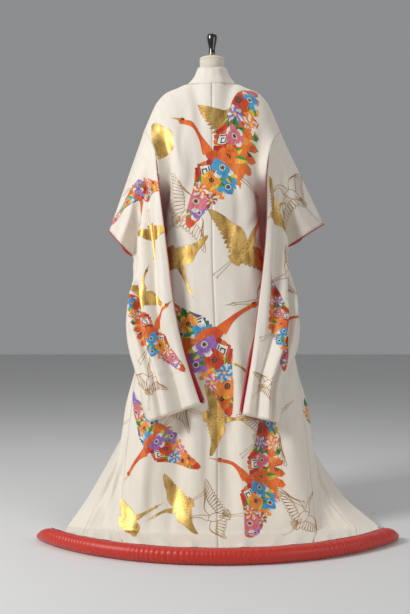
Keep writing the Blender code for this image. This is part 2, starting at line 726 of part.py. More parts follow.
def make_material(name, finish):
    """A Principled material with one finish's colour, roughness and metal."""
    material = bpy.data.materials.new(name + "_finish")
    material.use_nodes = True
    shader = material.node_tree.nodes["Principled BSDF"]
    shader.inputs["Base Color"].default_value = (*finish.colour, 1)
    shader.inputs["Roughness"].default_value = finish.roughness
    shader.inputs["Metallic"].default_value = finish.metallic
    return material


def number_side(cloth, side, centre_seam):
    """Number one side's points, welded along its seams and to the centre seam."""
    mirror = np.array([1.0 if side.side == "right" else -1.0, 1, 1])
    grids = {}
    grids["back"] = cloth.add_points(side.back * mirror)
    if centre_seam is not None:
        grids["back"][:, 0] = centre_seam
    front = cloth.add_points(side.front * mirror)
    front[0] = grids["back"][0, NECK_SPACES:][::-1]
    joined = YOKE_ROWS + int(np.argmax(side.heights <= SLIT_END + 1e-6))
    front[joined:, 0] = grids["back"][joined:, -1]
    grids["front"] = front
    overlap = cloth.add_points(side.overlap * mirror)
    overlap[:, 0] = front[OVERLAP_START_ROW:, -1]
    overlap[0] = overlap[0, 0]
    grids["overlap"] = overlap
    upper = cloth.add_points(side.sleeve_back * mirror)
    upper[:YOKE_ROWS, 0] = grids["back"][:YOKE_ROWS, -1]
    under = cloth.add_points(side.sleeve_front * mirror)
    under[:YOKE_ROWS, 0] = front[:YOKE_ROWS, 0]
    under[0] = upper[0]
    under[-1] = upper[-1]
    under[YOKE_ROWS:, -1] = upper[YOKE_ROWS:, -1]
    grids["sleeve_back"] = upper
    grids["sleeve_front"] = under
    return grids


def number_collar(cloth, grids, side):
    """Number the collar of one side, from the nape to its lower end."""
    neckline = list(grids["back"][0, :NECK_SPACES + 1])
    neckline += list(grids["front"][1:OVERLAP_START_ROW + 1, -1])
    below = YOKE_ROWS - OVERLAP_START_ROW + int(np.sum(side.heights > COLLAR_END))
    overlap_edge = grids["overlap"][:, -1]
    neckline += list(overlap_edge[1:below])
    seam = np.array([cloth.points[number] for number in neckline])
    steps = np.linalg.norm(np.diff(seam, axis=0), axis=1)
    along = np.concatenate(([0.0], np.cumsum(steps)))
    table = table_columns(COLLAR_EDGE, "along", "x", "y", "z")
    free = smooth(table[:, 0], table[:, 1:], np.minimum(along, table[-1, 0]))
    levels = int(np.sum(side.heights > COLLAR_END))
    free[-levels:] = side.collar_edge[:levels]
    free[:, 0] *= side.to_right
    free[-1] = cloth.points[overlap_edge[below]]
    numbers = cloth.add_points(np.stack([free, (seam + free) / 2, seam], axis=0))
    numbers[2] = neckline
    numbers[0, -1] = overlap_edge[below]
    return numbers


def robe_cloth():
    """The whole robe's points and outer panels, and the grids that they came from."""
    cloth = Cloth()
    right_side = RobeSide("right")
    left_side = RobeSide("left")
    right = number_side(cloth, right_side, None)
    left = number_side(cloth, left_side, right["back"][:, 0])
    collars = {"right": number_collar(cloth, right, right_side),
               "left": number_collar(cloth, left, left_side)}
    collars["left"][:, 0] = collars["right"][:, 0]
    sides = {"right": right, "left": left}
    for side, grids in sides.items():
        flip = side == "left"
        cloth.add_panel("back_" + side, grids["back"], flip)
        cloth.add_panel("front_" + side, grids["front"], flip)
        cloth.add_panel("overlap_" + side, grids["overlap"], flip)
        cloth.add_panel("sleeve_" + side, grids["sleeve_back"], flip)
        cloth.add_panel("sleeve_" + side, grids["sleeve_front"], not flip)
        cloth.add_panel("collar", collars[side], flip)
    cloth.finish()
    return cloth, sides


def make_panels(cloth):
    """The ivory silk panels and the collar band."""
    for name, cells in cloth.panels.items():
        thickness = COLLAR_BAND if name == "collar" else SILK
        make_wall(name, cloth, cells, 0.0, thickness, "ivory_silk")


def near_cuff(row, column):
    """Whether a sleeve's cell is above the armpit, and not at the cuff's lower end."""
    last_column = len(SLEEVE_ACROSS) - 2
    return row < YOKE_ROWS and (row, column) != (YOKE_ROWS - 1, last_column)


def near_opening(row, column):
    """Whether a sleeve's cell is near its cuff, armhole or open inner edge."""
    last_row = YOKE_ROWS + len(SLEEVE_DOWN) - 1
    beside_edge = SLEEVE_ACROSS[column] * SLEEVE_WIDTH < LINING_EDGE
    return near_cuff(row, column) or (YOKE_ROWS <= row < last_row and beside_edge)


def make_linings(sides, cloth):
    """The red lining where the robe and the sleeves stand open."""
    under = SILK + LAYER_GAP
    floor_rows = len(CLIMB_ANGLES)
    for side, grids in sides.items():
        flip = side == "left"
        lining = Cloth()
        lining.add_panel("lining_back_" + side, grids["back"][:-floor_rows], flip)
        lining.add_panel("lining_front_" + side, grids["front"][:-floor_rows], flip)
        lining.add_panel("lining_front_" + side, grids["overlap"][:-floor_rows], flip)
        lining.add_panel("sleeve_lining_" + side, grids["sleeve_back"], flip, near_opening)
        lining.add_panel("sleeve_lining_" + side, grids["sleeve_front"], not flip, near_cuff)
        for name, cells in lining.panels.items():
            make_wall(name, cloth, cells, under, LINING, "red_silk")


def make_padded_hem():
    """The padded red roll along the hem, thinner towards its two ends."""
    half_length = ROLL_HALF_ANGLE * HEM_RADIUS
    angles = np.linspace(-ROLL_HALF_ANGLE, ROLL_HALF_ANGLE, ROLL_STATIONS + 1)
    mesh = bmesh.new()
    rings = []
    for angle in angles:
        to_tip = half_length - abs(angle) * HEM_RADIUS
        full = ROLL_TIP + (1 - ROLL_TIP) * math.sin(min(to_tip / ROLL_TAPER, 1) * math.pi / 2)
        radius = ROLL_RADIUS * full
        ring = []
        for turn in np.linspace(0, 2 * math.pi, ROLL_SIDES, endpoint=False):
            out = HEM_RADIUS + radius * math.cos(turn + math.pi / ROLL_SIDES)
            centre = ROLL_CENTRE * full
            height = max(centre + radius * math.sin(turn + math.pi / ROLL_SIDES), 0.0)
            place = hem_point(np.array([angle]), HEM_CENTRE_X, out, height)[0]
            ring.append(mesh.verts.new(place))
        rings.append(ring)
    skin_between(mesh, rings)
    mesh.faces.new(list(reversed(rings[0])))
    mesh.faces.new(rings[-1])
    bmesh.ops.triangulate(mesh, faces=mesh.faces)
    bmesh.ops.recalc_face_normals(mesh, faces=mesh.faces)
    return add_object("padded_hem", mesh, "red_silk")


def skin_between(mesh, rings):
    """Four-sided faces between rings of points, each ring closed on itself."""
    for lower, upper in zip(rings, rings[1:]):
        for index in range(len(lower)):
            after = (index + 1) % len(lower)
            mesh.faces.new([lower[index], lower[after], upper[after], upper[index]])


def make_torso():
    """The form's body from the hips to the neck, as level rings."""
    mesh = bmesh.new()
    rings = []
    for section in TORSO:
        ring = []
        for turn in np.linspace(0, 2 * math.pi, TORSO_SIDES, endpoint=False):
            x = section.half_width * math.cos(turn)
            y = section.centre_y + section.half_depth * math.sin(turn)
            ring.append(mesh.verts.new((x, y, section.height)))
        rings.append(ring)
    skin_between(mesh, rings)
    mesh.faces.new(list(reversed(rings[0])))
    mesh.faces.new(rings[-1])
    bmesh.ops.triangulate(mesh, faces=mesh.faces)
    return add_object("form_torso", mesh, "cream_jersey")


def make_turned(name, profile, finish):
    """A solid turned round the vertical axis; its profile runs from bottom to top."""
    mesh = bmesh.new()
    rings = []
    for point in profile[1:-1]:
        ring = []
        for turn in np.linspace(0, 2 * math.pi, TURNED_SIDES, endpoint=False):
            ring.append(mesh.verts.new((point.radius * math.cos(turn),
                                        point.radius * math.sin(turn), point.height)))
        rings.append(ring)
    skin_between(mesh, rings)
    bottom = mesh.verts.new((0, 0, profile[0].height))
    top = mesh.verts.new((0, 0, profile[-1].height))
    for index in range(TURNED_SIDES):
        after = (index + 1) % TURNED_SIDES
        mesh.faces.new([bottom, rings[0][after], rings[0][index]])
        mesh.faces.new([top, rings[-1][index], rings[-1][after]])
    bmesh.ops.triangulate(mesh, faces=mesh.faces)
    return add_object(name, mesh, finish, sharp_angle=35.0)


def make_dress_form():
    """The limbless form and its stand, which carry the robe."""
    make_torso()
    make_turned("form_neck_cap", NECK_CAP, "cream_jersey")
    make_turned("form_flange", FLANGE, "brass")
    make_turned("form_knob", KNOB, "black_lacquer")
    make_turned("form_pole", POLE, "grey_metal")
    make_turned("form_base", BASE, "grey_metal")


def main():
    clear_scene()
    cloth, sides = robe_cloth()
    make_panels(cloth)
    make_linings(sides, cloth)
    make_padded_hem()
    make_dress_form()


main()
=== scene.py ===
"""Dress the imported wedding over-robe: fine silk, lining, ornament, padded hem and form.

Metres, +Z up. The robe's back faces -Y and its right side is at +X. Flat cloth places are
given as metres across from the centre seam or armhole, and metres down from the shoulder.
"""
import math
from collections import namedtuple

import bmesh
import bpy
import numpy as np
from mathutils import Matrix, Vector
from mathutils.geometry import delaunay_2d_cdt


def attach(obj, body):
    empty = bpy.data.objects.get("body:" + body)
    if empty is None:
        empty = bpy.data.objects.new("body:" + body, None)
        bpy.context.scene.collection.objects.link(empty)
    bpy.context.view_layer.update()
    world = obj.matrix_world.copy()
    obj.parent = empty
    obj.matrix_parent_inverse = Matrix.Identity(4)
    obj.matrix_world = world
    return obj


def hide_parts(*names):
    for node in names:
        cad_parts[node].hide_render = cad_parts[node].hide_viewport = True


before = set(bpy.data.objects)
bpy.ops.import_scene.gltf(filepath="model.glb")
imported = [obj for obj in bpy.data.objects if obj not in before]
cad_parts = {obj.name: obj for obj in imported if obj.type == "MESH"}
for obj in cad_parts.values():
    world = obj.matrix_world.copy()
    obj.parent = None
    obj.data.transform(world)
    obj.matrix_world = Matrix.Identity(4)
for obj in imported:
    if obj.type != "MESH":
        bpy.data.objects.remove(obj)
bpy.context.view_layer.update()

bl_info = {
    "name": "Wedding over-robe on a dress form",
    "version": (1, 0, 0),
    "blender": (4, 5, 0),
    "location": "View3D > Sidebar > Robe",
    "description": "Fine silk, lining, ornament, padded hem, form and stage for the robe",
    "category": "Object",
}

# Lengths and areas taken as nothing
TINY = 1e-7
SLIGHT = 1e-9
NOTHING = 1e-12

# Cloth walls, measured through the cloth
SILK = 0.0016
COLLAR_BAND = 0.0030

# Cut of the robe
NECK_HALF = 0.090
SHOULDER_WIDTH = 0.345
FRONT_WIDTH = 0.230
OVERLAP_WIDTH = 0.140
COLLAR_WIDTH = 0.055
SLEEVE_WIDTH = 0.350
SLEEVE_LENGTH = 1.050
SLEEVE_CORNER = 0.055
BACK_HEM = 0.300
FRONT_HEM = 0.230
OVERLAP_HEM = 0.130
HALF_HEM = BACK_HEM + FRONT_HEM + OVERLAP_HEM

# Heights where the pieces begin and end
ARMPIT_HEIGHT = 1.220
SLIT_END = 1.100
COLLAR_END = 0.785

# The robe's lower part hangs a little to its right
LEAN = 0.016
LEAN_TOP = 1.000
LEAN_DROP = 0.550

# Padded hem roll, an arc round a point near the robe's axis
HEM_CENTRE_X = LEAN
HEM_CENTRE_Y = -0.050
HEM_RADIUS = 0.680
HEM_HALF_ANGLE = 0.930
ROLL_HALF_ANGLE = 1.020
ROLL_RADIUS = 0.025
ROLL_CENTRE = 0.0235
ROLL_TAPER = 0.090
ROLL_TIP = 0.35
ROLL_CLEARANCE = 0.0018
TRAIN_HEIGHT = 0.0055
PUCKER_RISE = 0.005
PUCKER_START = 0.2
PUCKER_LENGTH = 0.6
SETTLE_POWER = 8

# Panel mesh: spaces across each panel and rows down it
ARC_POINTS = 24
NECK_SPACES = 3
PANEL_SPACES = 6
OVERLAP_SPACES = 2
YOKE_SHARES = (0.0, 0.09, 0.22, 0.42, 0.70)
YOKE_ROWS = len(YOKE_SHARES)
OVERLAP_START_ROW = 4
BODY_HEIGHTS = (1.22, 1.16, 1.10, 1.00, 0.90, 0.80, 0.77, 0.69, 0.60, 0.50, 0.41, 0.32, 0.23,
                0.15, 0.08, 0.03, 0.012)
TRAIN_SHARES = (0.08, 0.30, 0.55, 0.80, 1.00)
CLIMB_ANGLES = (170.0, 148.0, 126.0)
SLEEVE_ACROSS = (0, 0.11, 0.22, 0.33, 0.44, 0.55, 0.66, 0.77, 0.88, 0.965, 1)
SLEEVE_CUFF = 0.23
SLEEVE_DOWN = (0.30, 0.37, 0.44, 0.51, 0.58, 0.65, 0.72, 0.79, 0.86, 0.93, 0.985, 1)

# Shoulder fold of one side: cloth distance from the centre back, and place
Shoulder = namedtuple("Shoulder", "along x y z")
SHOULDER = (
    Shoulder(0.000, 0.000, -0.070, 1.552),
    Shoulder(0.045, 0.043, -0.058, 1.554),
    Shoulder(0.090, 0.090, 0.000, 1.562),
    Shoulder(0.140, 0.137, 0.000, 1.543),
    Shoulder(0.185, 0.178, 0.000, 1.523),
    Shoulder(0.215, 0.200, 0.000, 1.497),
    Shoulder(0.280, 0.228, 0.000, 1.438),
    Shoulder(0.345, 0.250, 0.000, 1.385),
)

# Level sections of one side of the robe, from the armpits to the floor. The free edge
# is the collar's own edge down to the collar's end, and the overlap's below it.
Level = namedtuple("Level", "height centre_y side_x side_y seam_x seam_y edge_x edge_y")
UPPER_LEVELS = (
    Level(1.22, -0.145, 0.203, -0.030, 0.125, 0.138, 0.060, 0.153),
    Level(1.10, -0.160, 0.200, -0.040, 0.150, 0.135, 0.053, 0.167),
    Level(0.95, -0.180, 0.214, -0.050, 0.172, 0.125, 0.052, 0.183),
    Level(0.80, -0.203, 0.236, -0.070, 0.200, 0.110, 0.060, 0.205),
    Level(0.65, -0.228, 0.265, -0.105, 0.228, 0.080, 0.112, 0.198),
)
RIGHT_LEVELS = UPPER_LEVELS + (
    Level(0.50, -0.255, 0.288, -0.150, 0.268, 0.015, 0.195, 0.140),
    Level(0.35, -0.283, 0.303, -0.200, 0.312, -0.065, 0.270, 0.050),
    Level(0.20, -0.315, 0.317, -0.250, 0.350, -0.145, 0.372, -0.035),
    Level(0.08, -0.345, 0.325, -0.300, 0.402, -0.245, 0.455, -0.180),
    Level(0.012, -0.375, 0.330, -0.335, 0.465, -0.300, 0.545, -0.265),
)
LEFT_LEVELS = UPPER_LEVELS + (
    Level(0.50, -0.255, 0.288, -0.150, 0.278, 0.000, 0.245, 0.085),
    Level(0.35, -0.283, 0.303, -0.200, 0.318, -0.085, 0.307, -0.005),
    Level(0.20, -0.315, 0.317, -0.250, 0.361, -0.160, 0.387, -0.070),
    Level(0.08, -0.345, 0.325, -0.300, 0.413, -0.255, 0.456, -0.200),
    Level(0.012, -0.375, 0.330, -0.335, 0.440, -0.300, 0.505, -0.270),
)
ARMPIT_BACK = (0.190, -0.140)
ARMPIT_FRONT = (0.203, 0.085)

# Inner and outer edges of the hanging sleeves, below the armhole and the cuff
InnerEdge = namedtuple("InnerEdge", "height back_x back_y front_x front_y")
OuterEdge = namedtuple("OuterEdge", "height x y")
Sleeve = namedtuple("Sleeve", "cuff_top cuff_end inner outer")
RIGHT_SLEEVE = Sleeve(
    cuff_top=(0.408, 0.000, 1.053),
    cuff_end=(0.270, -0.030, 0.965),
    inner=(
        InnerEdge(1.220, 0.190, -0.140, 0.203, 0.085),
        InnerEdge(1.130, 0.188, -0.160, 0.205, 0.078),
        InnerEdge(1.050, 0.185, -0.178, 0.210, 0.040),
        InnerEdge(0.970, 0.179, -0.192, 0.223, -0.035),
        InnerEdge(0.900, 0.172, -0.205, 0.222, -0.110),
        InnerEdge(0.750, 0.152, -0.240, 0.170, -0.222),
        InnerEdge(0.600, 0.132, -0.270, 0.125, -0.258),
        InnerEdge(0.392, 0.0945, -0.325, 0.085, -0.310),
    ),
    outer=(
        OuterEdge(0.965, 0.270, -0.030),
        OuterEdge(0.848, 0.276, -0.080),
        OuterEdge(0.685, 0.307, -0.160),
        OuterEdge(0.600, 0.292, -0.212),
        OuterEdge(0.502, 0.244, -0.262),
        OuterEdge(0.357, 0.235, -0.290),
    ),
)
LEFT_SLEEVE = Sleeve(
    cuff_top=(0.376, 0.000, 1.027),
    cuff_end=(0.288, -0.030, 0.932),
    inner=(
        InnerEdge(1.220, 0.190, -0.140, 0.203, 0.085),
        InnerEdge(1.130, 0.177, -0.162, 0.205, 0.078),
        InnerEdge(1.050, 0.167, -0.182, 0.210, 0.040),
        InnerEdge(0.970, 0.156, -0.198, 0.223, -0.035),
        InnerEdge(0.900, 0.147, -0.210, 0.219, -0.110),
        InnerEdge(0.757, 0.1275, -0.240, 0.155, -0.222),
        InnerEdge(0.600, 0.093, -0.270, 0.090, -0.258),
        InnerEdge(0.428, 0.037, -0.325, 0.020, -0.310),
    ),
    outer=(
        OuterEdge(0.932, 0.288, -0.030),
        OuterEdge(0.848, 0.283, -0.080),
        OuterEdge(0.720, 0.302, -0.148),
        OuterEdge(0.640, 0.296, -0.192),
        OuterEdge(0.482, 0.249, -0.268),
        OuterEdge(0.357, 0.228, -0.290),
    ),
)
CUFF_BULGE = 0.075
CUFF_ROUND = 2.0
SLEEVE_ROOM = 0.014
TOP_ROOM = 0.05
INNER_ROOM = 0.45
INNER_FADE = 0.10
OUTER_FADE = 0.25
ARMPIT_GAP = 0.003
INNER_DROP = 0.72
OUTER_DROP = 1.15
SLEEVE_SEAM_ROOM = 0.035
SLEEVE_BOTTOM_ROOM = 0.015

# Folds. Across runs from 0 at the centre back to 1 at the side seam, 2 at the front
# seam and 3 at the free edge. Depth is outwards, so a valley is negative.
Fold = namedtuple("Fold", "side top bottom across_top across_bottom width depth")
BODY_FOLDS = (
    Fold("both", 1.38, 0.86, 0.80, 0.84, 0.17, -0.026),
    Fold("both", 1.30, 0.70, 0.55, 0.58, 0.18, 0.010),
    Fold("right", 0.52, 0.02, 0.10, 0.13, 0.10, -0.012),
    Fold("right", 0.54, 0.02, 0.27, 0.30, 0.14, 0.015),
    Fold("right", 0.52, 0.02, 0.50, 0.56, 0.14, -0.018),
    Fold("right", 0.44, 0.02, 0.76, 0.82, 0.14, 0.014),
    Fold("left", 0.50, 0.02, 0.20, 0.20, 0.14, 0.012),
    Fold("left", 0.50, 0.02, 0.40, 0.46, 0.14, -0.018),
    Fold("left", 0.44, 0.02, 0.66, 0.74, 0.15, 0.018),
    Fold("both", 0.55, 0.02, 1.50, 1.50, 0.30, 0.022),
    Fold("both", 0.95, 0.10, 1.20, 1.16, 0.14, -0.014),
    Fold("both", 0.90, 0.05, 1.84, 1.84, 0.16, -0.012),
)
SLEEVE_FOLDS = (
    Fold("both", 0.14, 1.20, 0.14, 0.15, 0.18, 0.018),
    Fold("both", 0.14, 1.20, 0.50, 0.53, 0.20, 0.046),
    Fold("both", 0.34, 1.20, 0.83, 0.84, 0.15, 0.038),
    Fold("both", 0.24, 0.70, 0.74, 0.84, 0.17, 0.022),
)
BODY_FADE = 0.10
SLEEVE_FADE = 0.20

# How the cloth leaves the nape and the shoulder fold, outwards and up, and how it
# comes down to the armpits
NAPE_FALL = np.array([0.0, 0.035, -0.070])
SHOULDER_FALL = np.array([0.0, 0.095, 0.0])
ARMPIT_RISE = np.array([0.0, 0.0, 0.110])

# Free edge of the standing collar, by distance from the nape along its seam
CollarPoint = namedtuple("CollarPoint", "along x y z")
COLLAR_EDGE = (
    CollarPoint(0.00, 0.0000, -0.0565, 1.612),
    CollarPoint(0.05, 0.0360, -0.0430, 1.616),
    CollarPoint(0.10, 0.0545, 0.0000, 1.621),
    CollarPoint(0.16, 0.0530, 0.0450, 1.585),
    CollarPoint(0.26, 0.0570, 0.1000, 1.490),
    CollarPoint(0.36, 0.0605, 0.1320, 1.370),
    CollarPoint(0.47, 0.0600, 0.1530, 1.220),
)

# Dress form sections
Ring = namedtuple("Ring", "height half_width half_depth centre_y")
TORSO = (
    Ring(0.860, 0.150, 0.092, 0.000),
    Ring(0.868, 0.163, 0.104, 0.000),
    Ring(0.950, 0.170, 0.114, 0.000),
    Ring(1.050, 0.140, 0.099, 0.000),
    Ring(1.150, 0.115, 0.085, 0.003),
    Ring(1.240, 0.128, 0.096, 0.010),
    Ring(1.320, 0.143, 0.106, 0.016),
    Ring(1.400, 0.149, 0.094, 0.010),
    Ring(1.460, 0.158, 0.076, 0.004),
    Ring(1.500, 0.163, 0.062, 0.002),
    Ring(1.521, 0.158, 0.050, 0.001),
    Ring(1.5390, 0.134, 0.042, 0.000),
    Ring(1.5575, 0.084, 0.036, 0.000),
    Ring(1.566, 0.064, 0.040, 0.000),
    Ring(1.578, 0.051, 0.0440, 0.000),
    Ring(1.600, 0.0455, 0.0455, 0.000),
    Ring(1.649, 0.0450, 0.0450, 0.000),
)
Turned = namedtuple("Turned", "radius height")
NECK_CAP = (Turned(0.0, 1.6493), Turned(0.0480, 1.6493), Turned(0.0485, 1.6530),
            Turned(0.0460, 1.6570), Turned(0.0380, 1.6605), Turned(0.0250, 1.6625),
            Turned(0.0, 1.6632))
FLANGE = (Turned(0.0, 1.6635), Turned(0.0155, 1.6635), Turned(0.0160, 1.6660),
          Turned(0.0150, 1.6700), Turned(0.0118, 1.6715), Turned(0.0112, 1.6760),
          Turned(0.0, 1.6760))
KNOB = (Turned(0.0, 1.6763), Turned(0.0118, 1.6763), Turned(0.0112, 1.6880),
        Turned(0.0130, 1.7020), Turned(0.0165, 1.7180), Turned(0.0182, 1.7310),
        Turned(0.0172, 1.7420), Turned(0.0120, 1.7485), Turned(0.0, 1.7505))
BASE = (Turned(0.0, 0.0), Turned(0.1880, 0.0), Turned(0.1900, 0.0040), Turned(0.1850, 0.0110),
        Turned(0.1200, 0.0190), Turned(0.0300, 0.0230), Turned(0.0240, 0.0300),
        Turned(0.0220, 0.0600), Turned(0.0, 0.0600))


def table_columns(rows, *names):
    """The named columns of a table, as one array with a row for each table row."""
    return np.array([[getattr(row, name) for name in names] for row in rows])


def run_along(path):
    """Distance of each point of a path from its first one."""
    steps = np.linalg.norm(np.diff(path, axis=0), axis=1)
    return np.concatenate(([0.0], np.cumsum(steps)))


def unit(vectors, least=TINY):
    """Vectors brought to a length of 1, unless they are shorter than the least."""
    return vectors / np.maximum(np.linalg.norm(vectors, axis=-1, keepdims=True), least)


def smooth(knots, values, at):
    """Values on the smooth curve through the given ones; the knots go upwards."""
    knots = np.asarray(knots, float)
    values = np.asarray(values, float)
    at = np.asarray(at, float)
    slopes = np.gradient(values, knots, axis=0)
    low = np.clip(np.searchsorted(knots, at, side="right") - 1, 0, len(knots) - 2)
    span = (knots[low + 1] - knots[low])[..., None]
    share = (at[..., None] - knots[low][..., None]) / span
    square = share * share
    cube = square * share
    start = values[low] * (2 * cube - 3 * square + 1)
    end = values[low + 1] * (3 * square - 2 * cube)
    leaving = slopes[low] * span * (cube - 2 * square + share)
    arriving = slopes[low + 1] * span * (cube - square)
    return start + end + leaving + arriving


def by_height(rows, heights, *names):
    """Columns of a table that is listed from the top down, at new heights."""
    table = table_columns(rows, "height", *names)
    return smooth(-table[:, 0], table[:, 1:], -np.asarray(heights, float))


def spread(curve, shares):
    """Points of a fine curve at shares of its length."""
    along = run_along(curve)
    along = along / along[-1]
    return np.column_stack([np.interp(shares, along, curve[:, axis]) for axis in range(3)])


def hat(distance):
    """A round bump, 1 in the middle and 0 from a distance of 1 outwards."""
    return np.where(np.abs(distance) < 1, np.cos(distance * math.pi / 2) ** 2, 0.0)


def ease(share):
    """A soft step from 0 to 1."""
    share = np.clip(share, 0, 1)
    return share * share * (3 - 2 * share)


def bezier(start, first, second, end, shares):
    """Points of a cubic curve."""
    share = np.asarray(shares)[:, None]
    rest = 1 - share
    return (start * rest ** 3 + first * 3 * rest ** 2 * share
            + second * 3 * rest * share ** 2 + end * share ** 3)


def fold_depth(folds, side, across, down, fade):
    """Depth of all folds of one side at each point; down grows towards the hem."""
    depth = np.zeros_like(across)
    for fold in folds:
        if fold.side not in ("both", side):
            continue
        top, bottom = sorted((fold.top, fold.bottom))
        share = np.clip((down - fold.top) / (fold.bottom - fold.top), 0, 1)
        middle = fold.across_top + (fold.across_bottom - fold.across_top) * share
        strength = ease((down - top) / fade) * ease((bottom - down) / fade)
        depth += fold.depth * hat((across - middle) / fold.width) * strength
    return depth


def quarter_arc(start, end, start_is_flat, height):
    """A quarter of an ellipse between two level points."""
    turn = np.linspace(0, math.pi / 2, ARC_POINTS)
    early, late = np.sin(turn), 1 - np.cos(turn)
    rise, run = (late, early) if start_is_flat else (early, late)
    x = start[0] + (end[0] - start[0]) * run
    y = start[1] + (end[1] - start[1]) * rise
    return np.column_stack([x, y, np.full(ARC_POINTS, height)])


class RobeSide:
    """The grids of points of one side of the robe, worked out at positive X.

    The rows of back and front run from the shoulder fold to the hem roll. The back's
    columns run from the centre seam to the side seam, the front's from there to the
    front seam, and the overlap's from there to its free edge.
    """

    def __init__(self, side):
        self.side = side
        self.levels = RIGHT_LEVELS if side == "right" else LEFT_LEVELS
        self.sleeve = RIGHT_SLEEVE if side == "right" else LEFT_SLEEVE
        neck_share = NECK_HALF / SHOULDER_WIDTH
        neck = np.linspace(0, neck_share, NECK_SPACES + 1)
        rest = np.linspace(neck_share, 1, PANEL_SPACES + 1)
        self.back_shares = np.concatenate([neck, rest[1:]])
        self.front_shares = np.linspace(0, 1, PANEL_SPACES + 1)
        self.overlap_shares = np.linspace(0, 1, OVERLAP_SPACES + 1)
        self.heights = np.array(BODY_HEIGHTS)
        self.to_right = 1.0 if side == "right" else -1.0
        self.body_sections()
        back_train = self.train(self.back_body, "back")
        front_train = self.train(self.front_body, "front")
        self.back = np.vstack([self.back_yoke(), self.back_body, back_train])
        self.front = np.vstack([self.front_yoke(), self.front_body, front_train])
        self.overlap = self.overlap_panel()
        self.fold_panels()
        self.sleeve_back, self.sleeve_front = self.sleeve_layers()

    def body_sections(self):
        """Sections of back, front and overlap at each body height."""
        columns = ("centre_y", "side_x", "side_y", "seam_x", "seam_y", "edge_x", "edge_y")
        sections = by_height(self.levels, self.heights, *columns)
        back, front, overlap = [], [], []
        for height, (centre_y, side_x, side_y, seam_x, seam_y, edge_x, edge_y) in zip(
                self.heights, sections):
            slit = np.clip((height - SLIT_END) / (ARMPIT_HEIGHT - SLIT_END), 0, 1)
            side_point = np.array([side_x, side_y])
            back_side = side_point + (np.array(ARMPIT_BACK) - side_point) * slit
            front_side = side_point + (np.array(ARMPIT_FRONT) - side_point) * slit
            seam = np.array([seam_x, seam_y])
            back_curve = quarter_arc((0, centre_y), back_side, True, height)
            front_curve = quarter_arc(front_side, seam, False, height)
            edge = np.array([edge_x, edge_y])
            if height > COLLAR_END:
                edge += (seam - edge) * COLLAR_WIDTH / np.linalg.norm(seam - edge)
            overlap_curve = np.array([(seam_x, seam_y, height), (*edge, height)])
            back.append(spread(back_curve, self.back_shares))
            front.append(spread(front_curve, self.front_shares))
            overlap.append(spread(overlap_curve, self.overlap_shares))
        self.back_body = np.array(back)
        self.front_body = np.array(front)
        self.overlap_body = np.array(overlap)
        self.collar_edge = np.column_stack([sections[:, 5:7], self.heights])
        for grid in (self.back_body, self.front_body, self.overlap_body, self.collar_edge):
            grid[..., 0] += self.to_right * lean(grid[..., 2])

    def shoulder_line(self, shares):
        """Points of the shoulder fold, by share of the shoulder's width."""
        table = table_columns(SHOULDER, "along", "x", "y", "z")
        return smooth(table[:, 0], table[:, 1:], np.asarray(shares) * SHOULDER_WIDTH)

    def yoke(self, top, bottom, out):
        """Rows from the shoulder fold down to the armpits; out is -1 for the back."""
        beyond_neck = ease((top[:, 0] - NECK_HALF / 2) / (NECK_HALF / 2))
        columns = []
        for start, end, level in zip(top, bottom, beyond_neck):
            leave = (NAPE_FALL + (SHOULDER_FALL - NAPE_FALL) * level) * np.array([1, out, 1])
            columns.append(bezier(start, start + leave, end + ARMPIT_RISE, end, YOKE_SHARES))
        return np.swapaxes(np.array(columns), 0, 1)

    def back_yoke(self):
        """Rows of the back's upper part."""
        return self.yoke(self.shoulder_line(self.back_shares), self.back_body[0], -1)

    def front_yoke(self):
        """Rows of the front's upper part, from the side to the neck."""
        neck_share = NECK_HALF / SHOULDER_WIDTH
        shares = np.linspace(1, neck_share, PANEL_SPACES + 1)
        return self.yoke(self.shoulder_line(shares), self.front_body[0], 1)

    def hem_angles(self, panel):
        """Angle round the hem's arc of each column of a panel."""
        shares, start, width = {
            "back": (self.back_shares, 0, BACK_HEM),
            "front": (self.front_shares, BACK_HEM, FRONT_HEM),
            "overlap": (self.overlap_shares, BACK_HEM + FRONT_HEM, OVERLAP_HEM),
        }[panel]
        return (start + shares * width) / HALF_HEM * HEM_HALF_ANGLE

    def train(self, body, panel):
        """Rows on the floor from the foot of the robe to the roll, then up the roll."""
        angles = self.hem_angles(panel)
        foot = body[-1]
        centre_x = self.to_right * HEM_CENTRE_X
        clear = ROLL_RADIUS + SILK + ROLL_CLEARANCE
        rows = []
        for share in TRAIN_SHARES:
            end = hem_point(angles, centre_x, HEM_RADIUS - clear - SILK, 0.0)
            row = foot + (end - foot) * share
            gather = ease((share - PUCKER_START) / PUCKER_LENGTH)
            pucker = PUCKER_RISE * gather * (np.arange(len(angles)) % 2)
            settled = (foot[:, 2] - TRAIN_HEIGHT) * (1 - share) ** SETTLE_POWER
            row[:, 2] = TRAIN_HEIGHT + settled + pucker
            rows.append(row)
        for degrees in CLIMB_ANGLES:
            turn = math.radians(degrees)
            rows.append(hem_point(angles, centre_x, HEM_RADIUS + clear * math.cos(turn),
                                  ROLL_CENTRE + clear * math.sin(turn)))
        return np.array(rows)

    def overlap_panel(self):
        """The overlap, from its point on the front edge down to the hem."""
        seam = self.front[OVERLAP_START_ROW:YOKE_ROWS, -1]
        share = np.linspace(0, 1, YOKE_ROWS - OVERLAP_START_ROW + 1)[:-1, None]
        reach = (self.overlap_body[0, -1] - self.overlap_body[0, 0]) * share
        top = np.array([seam + reach * across for across in self.overlap_shares])
        return np.vstack([np.swapaxes(top, 0, 1), self.overlap_body,
                          self.train(self.overlap_body, "overlap")])

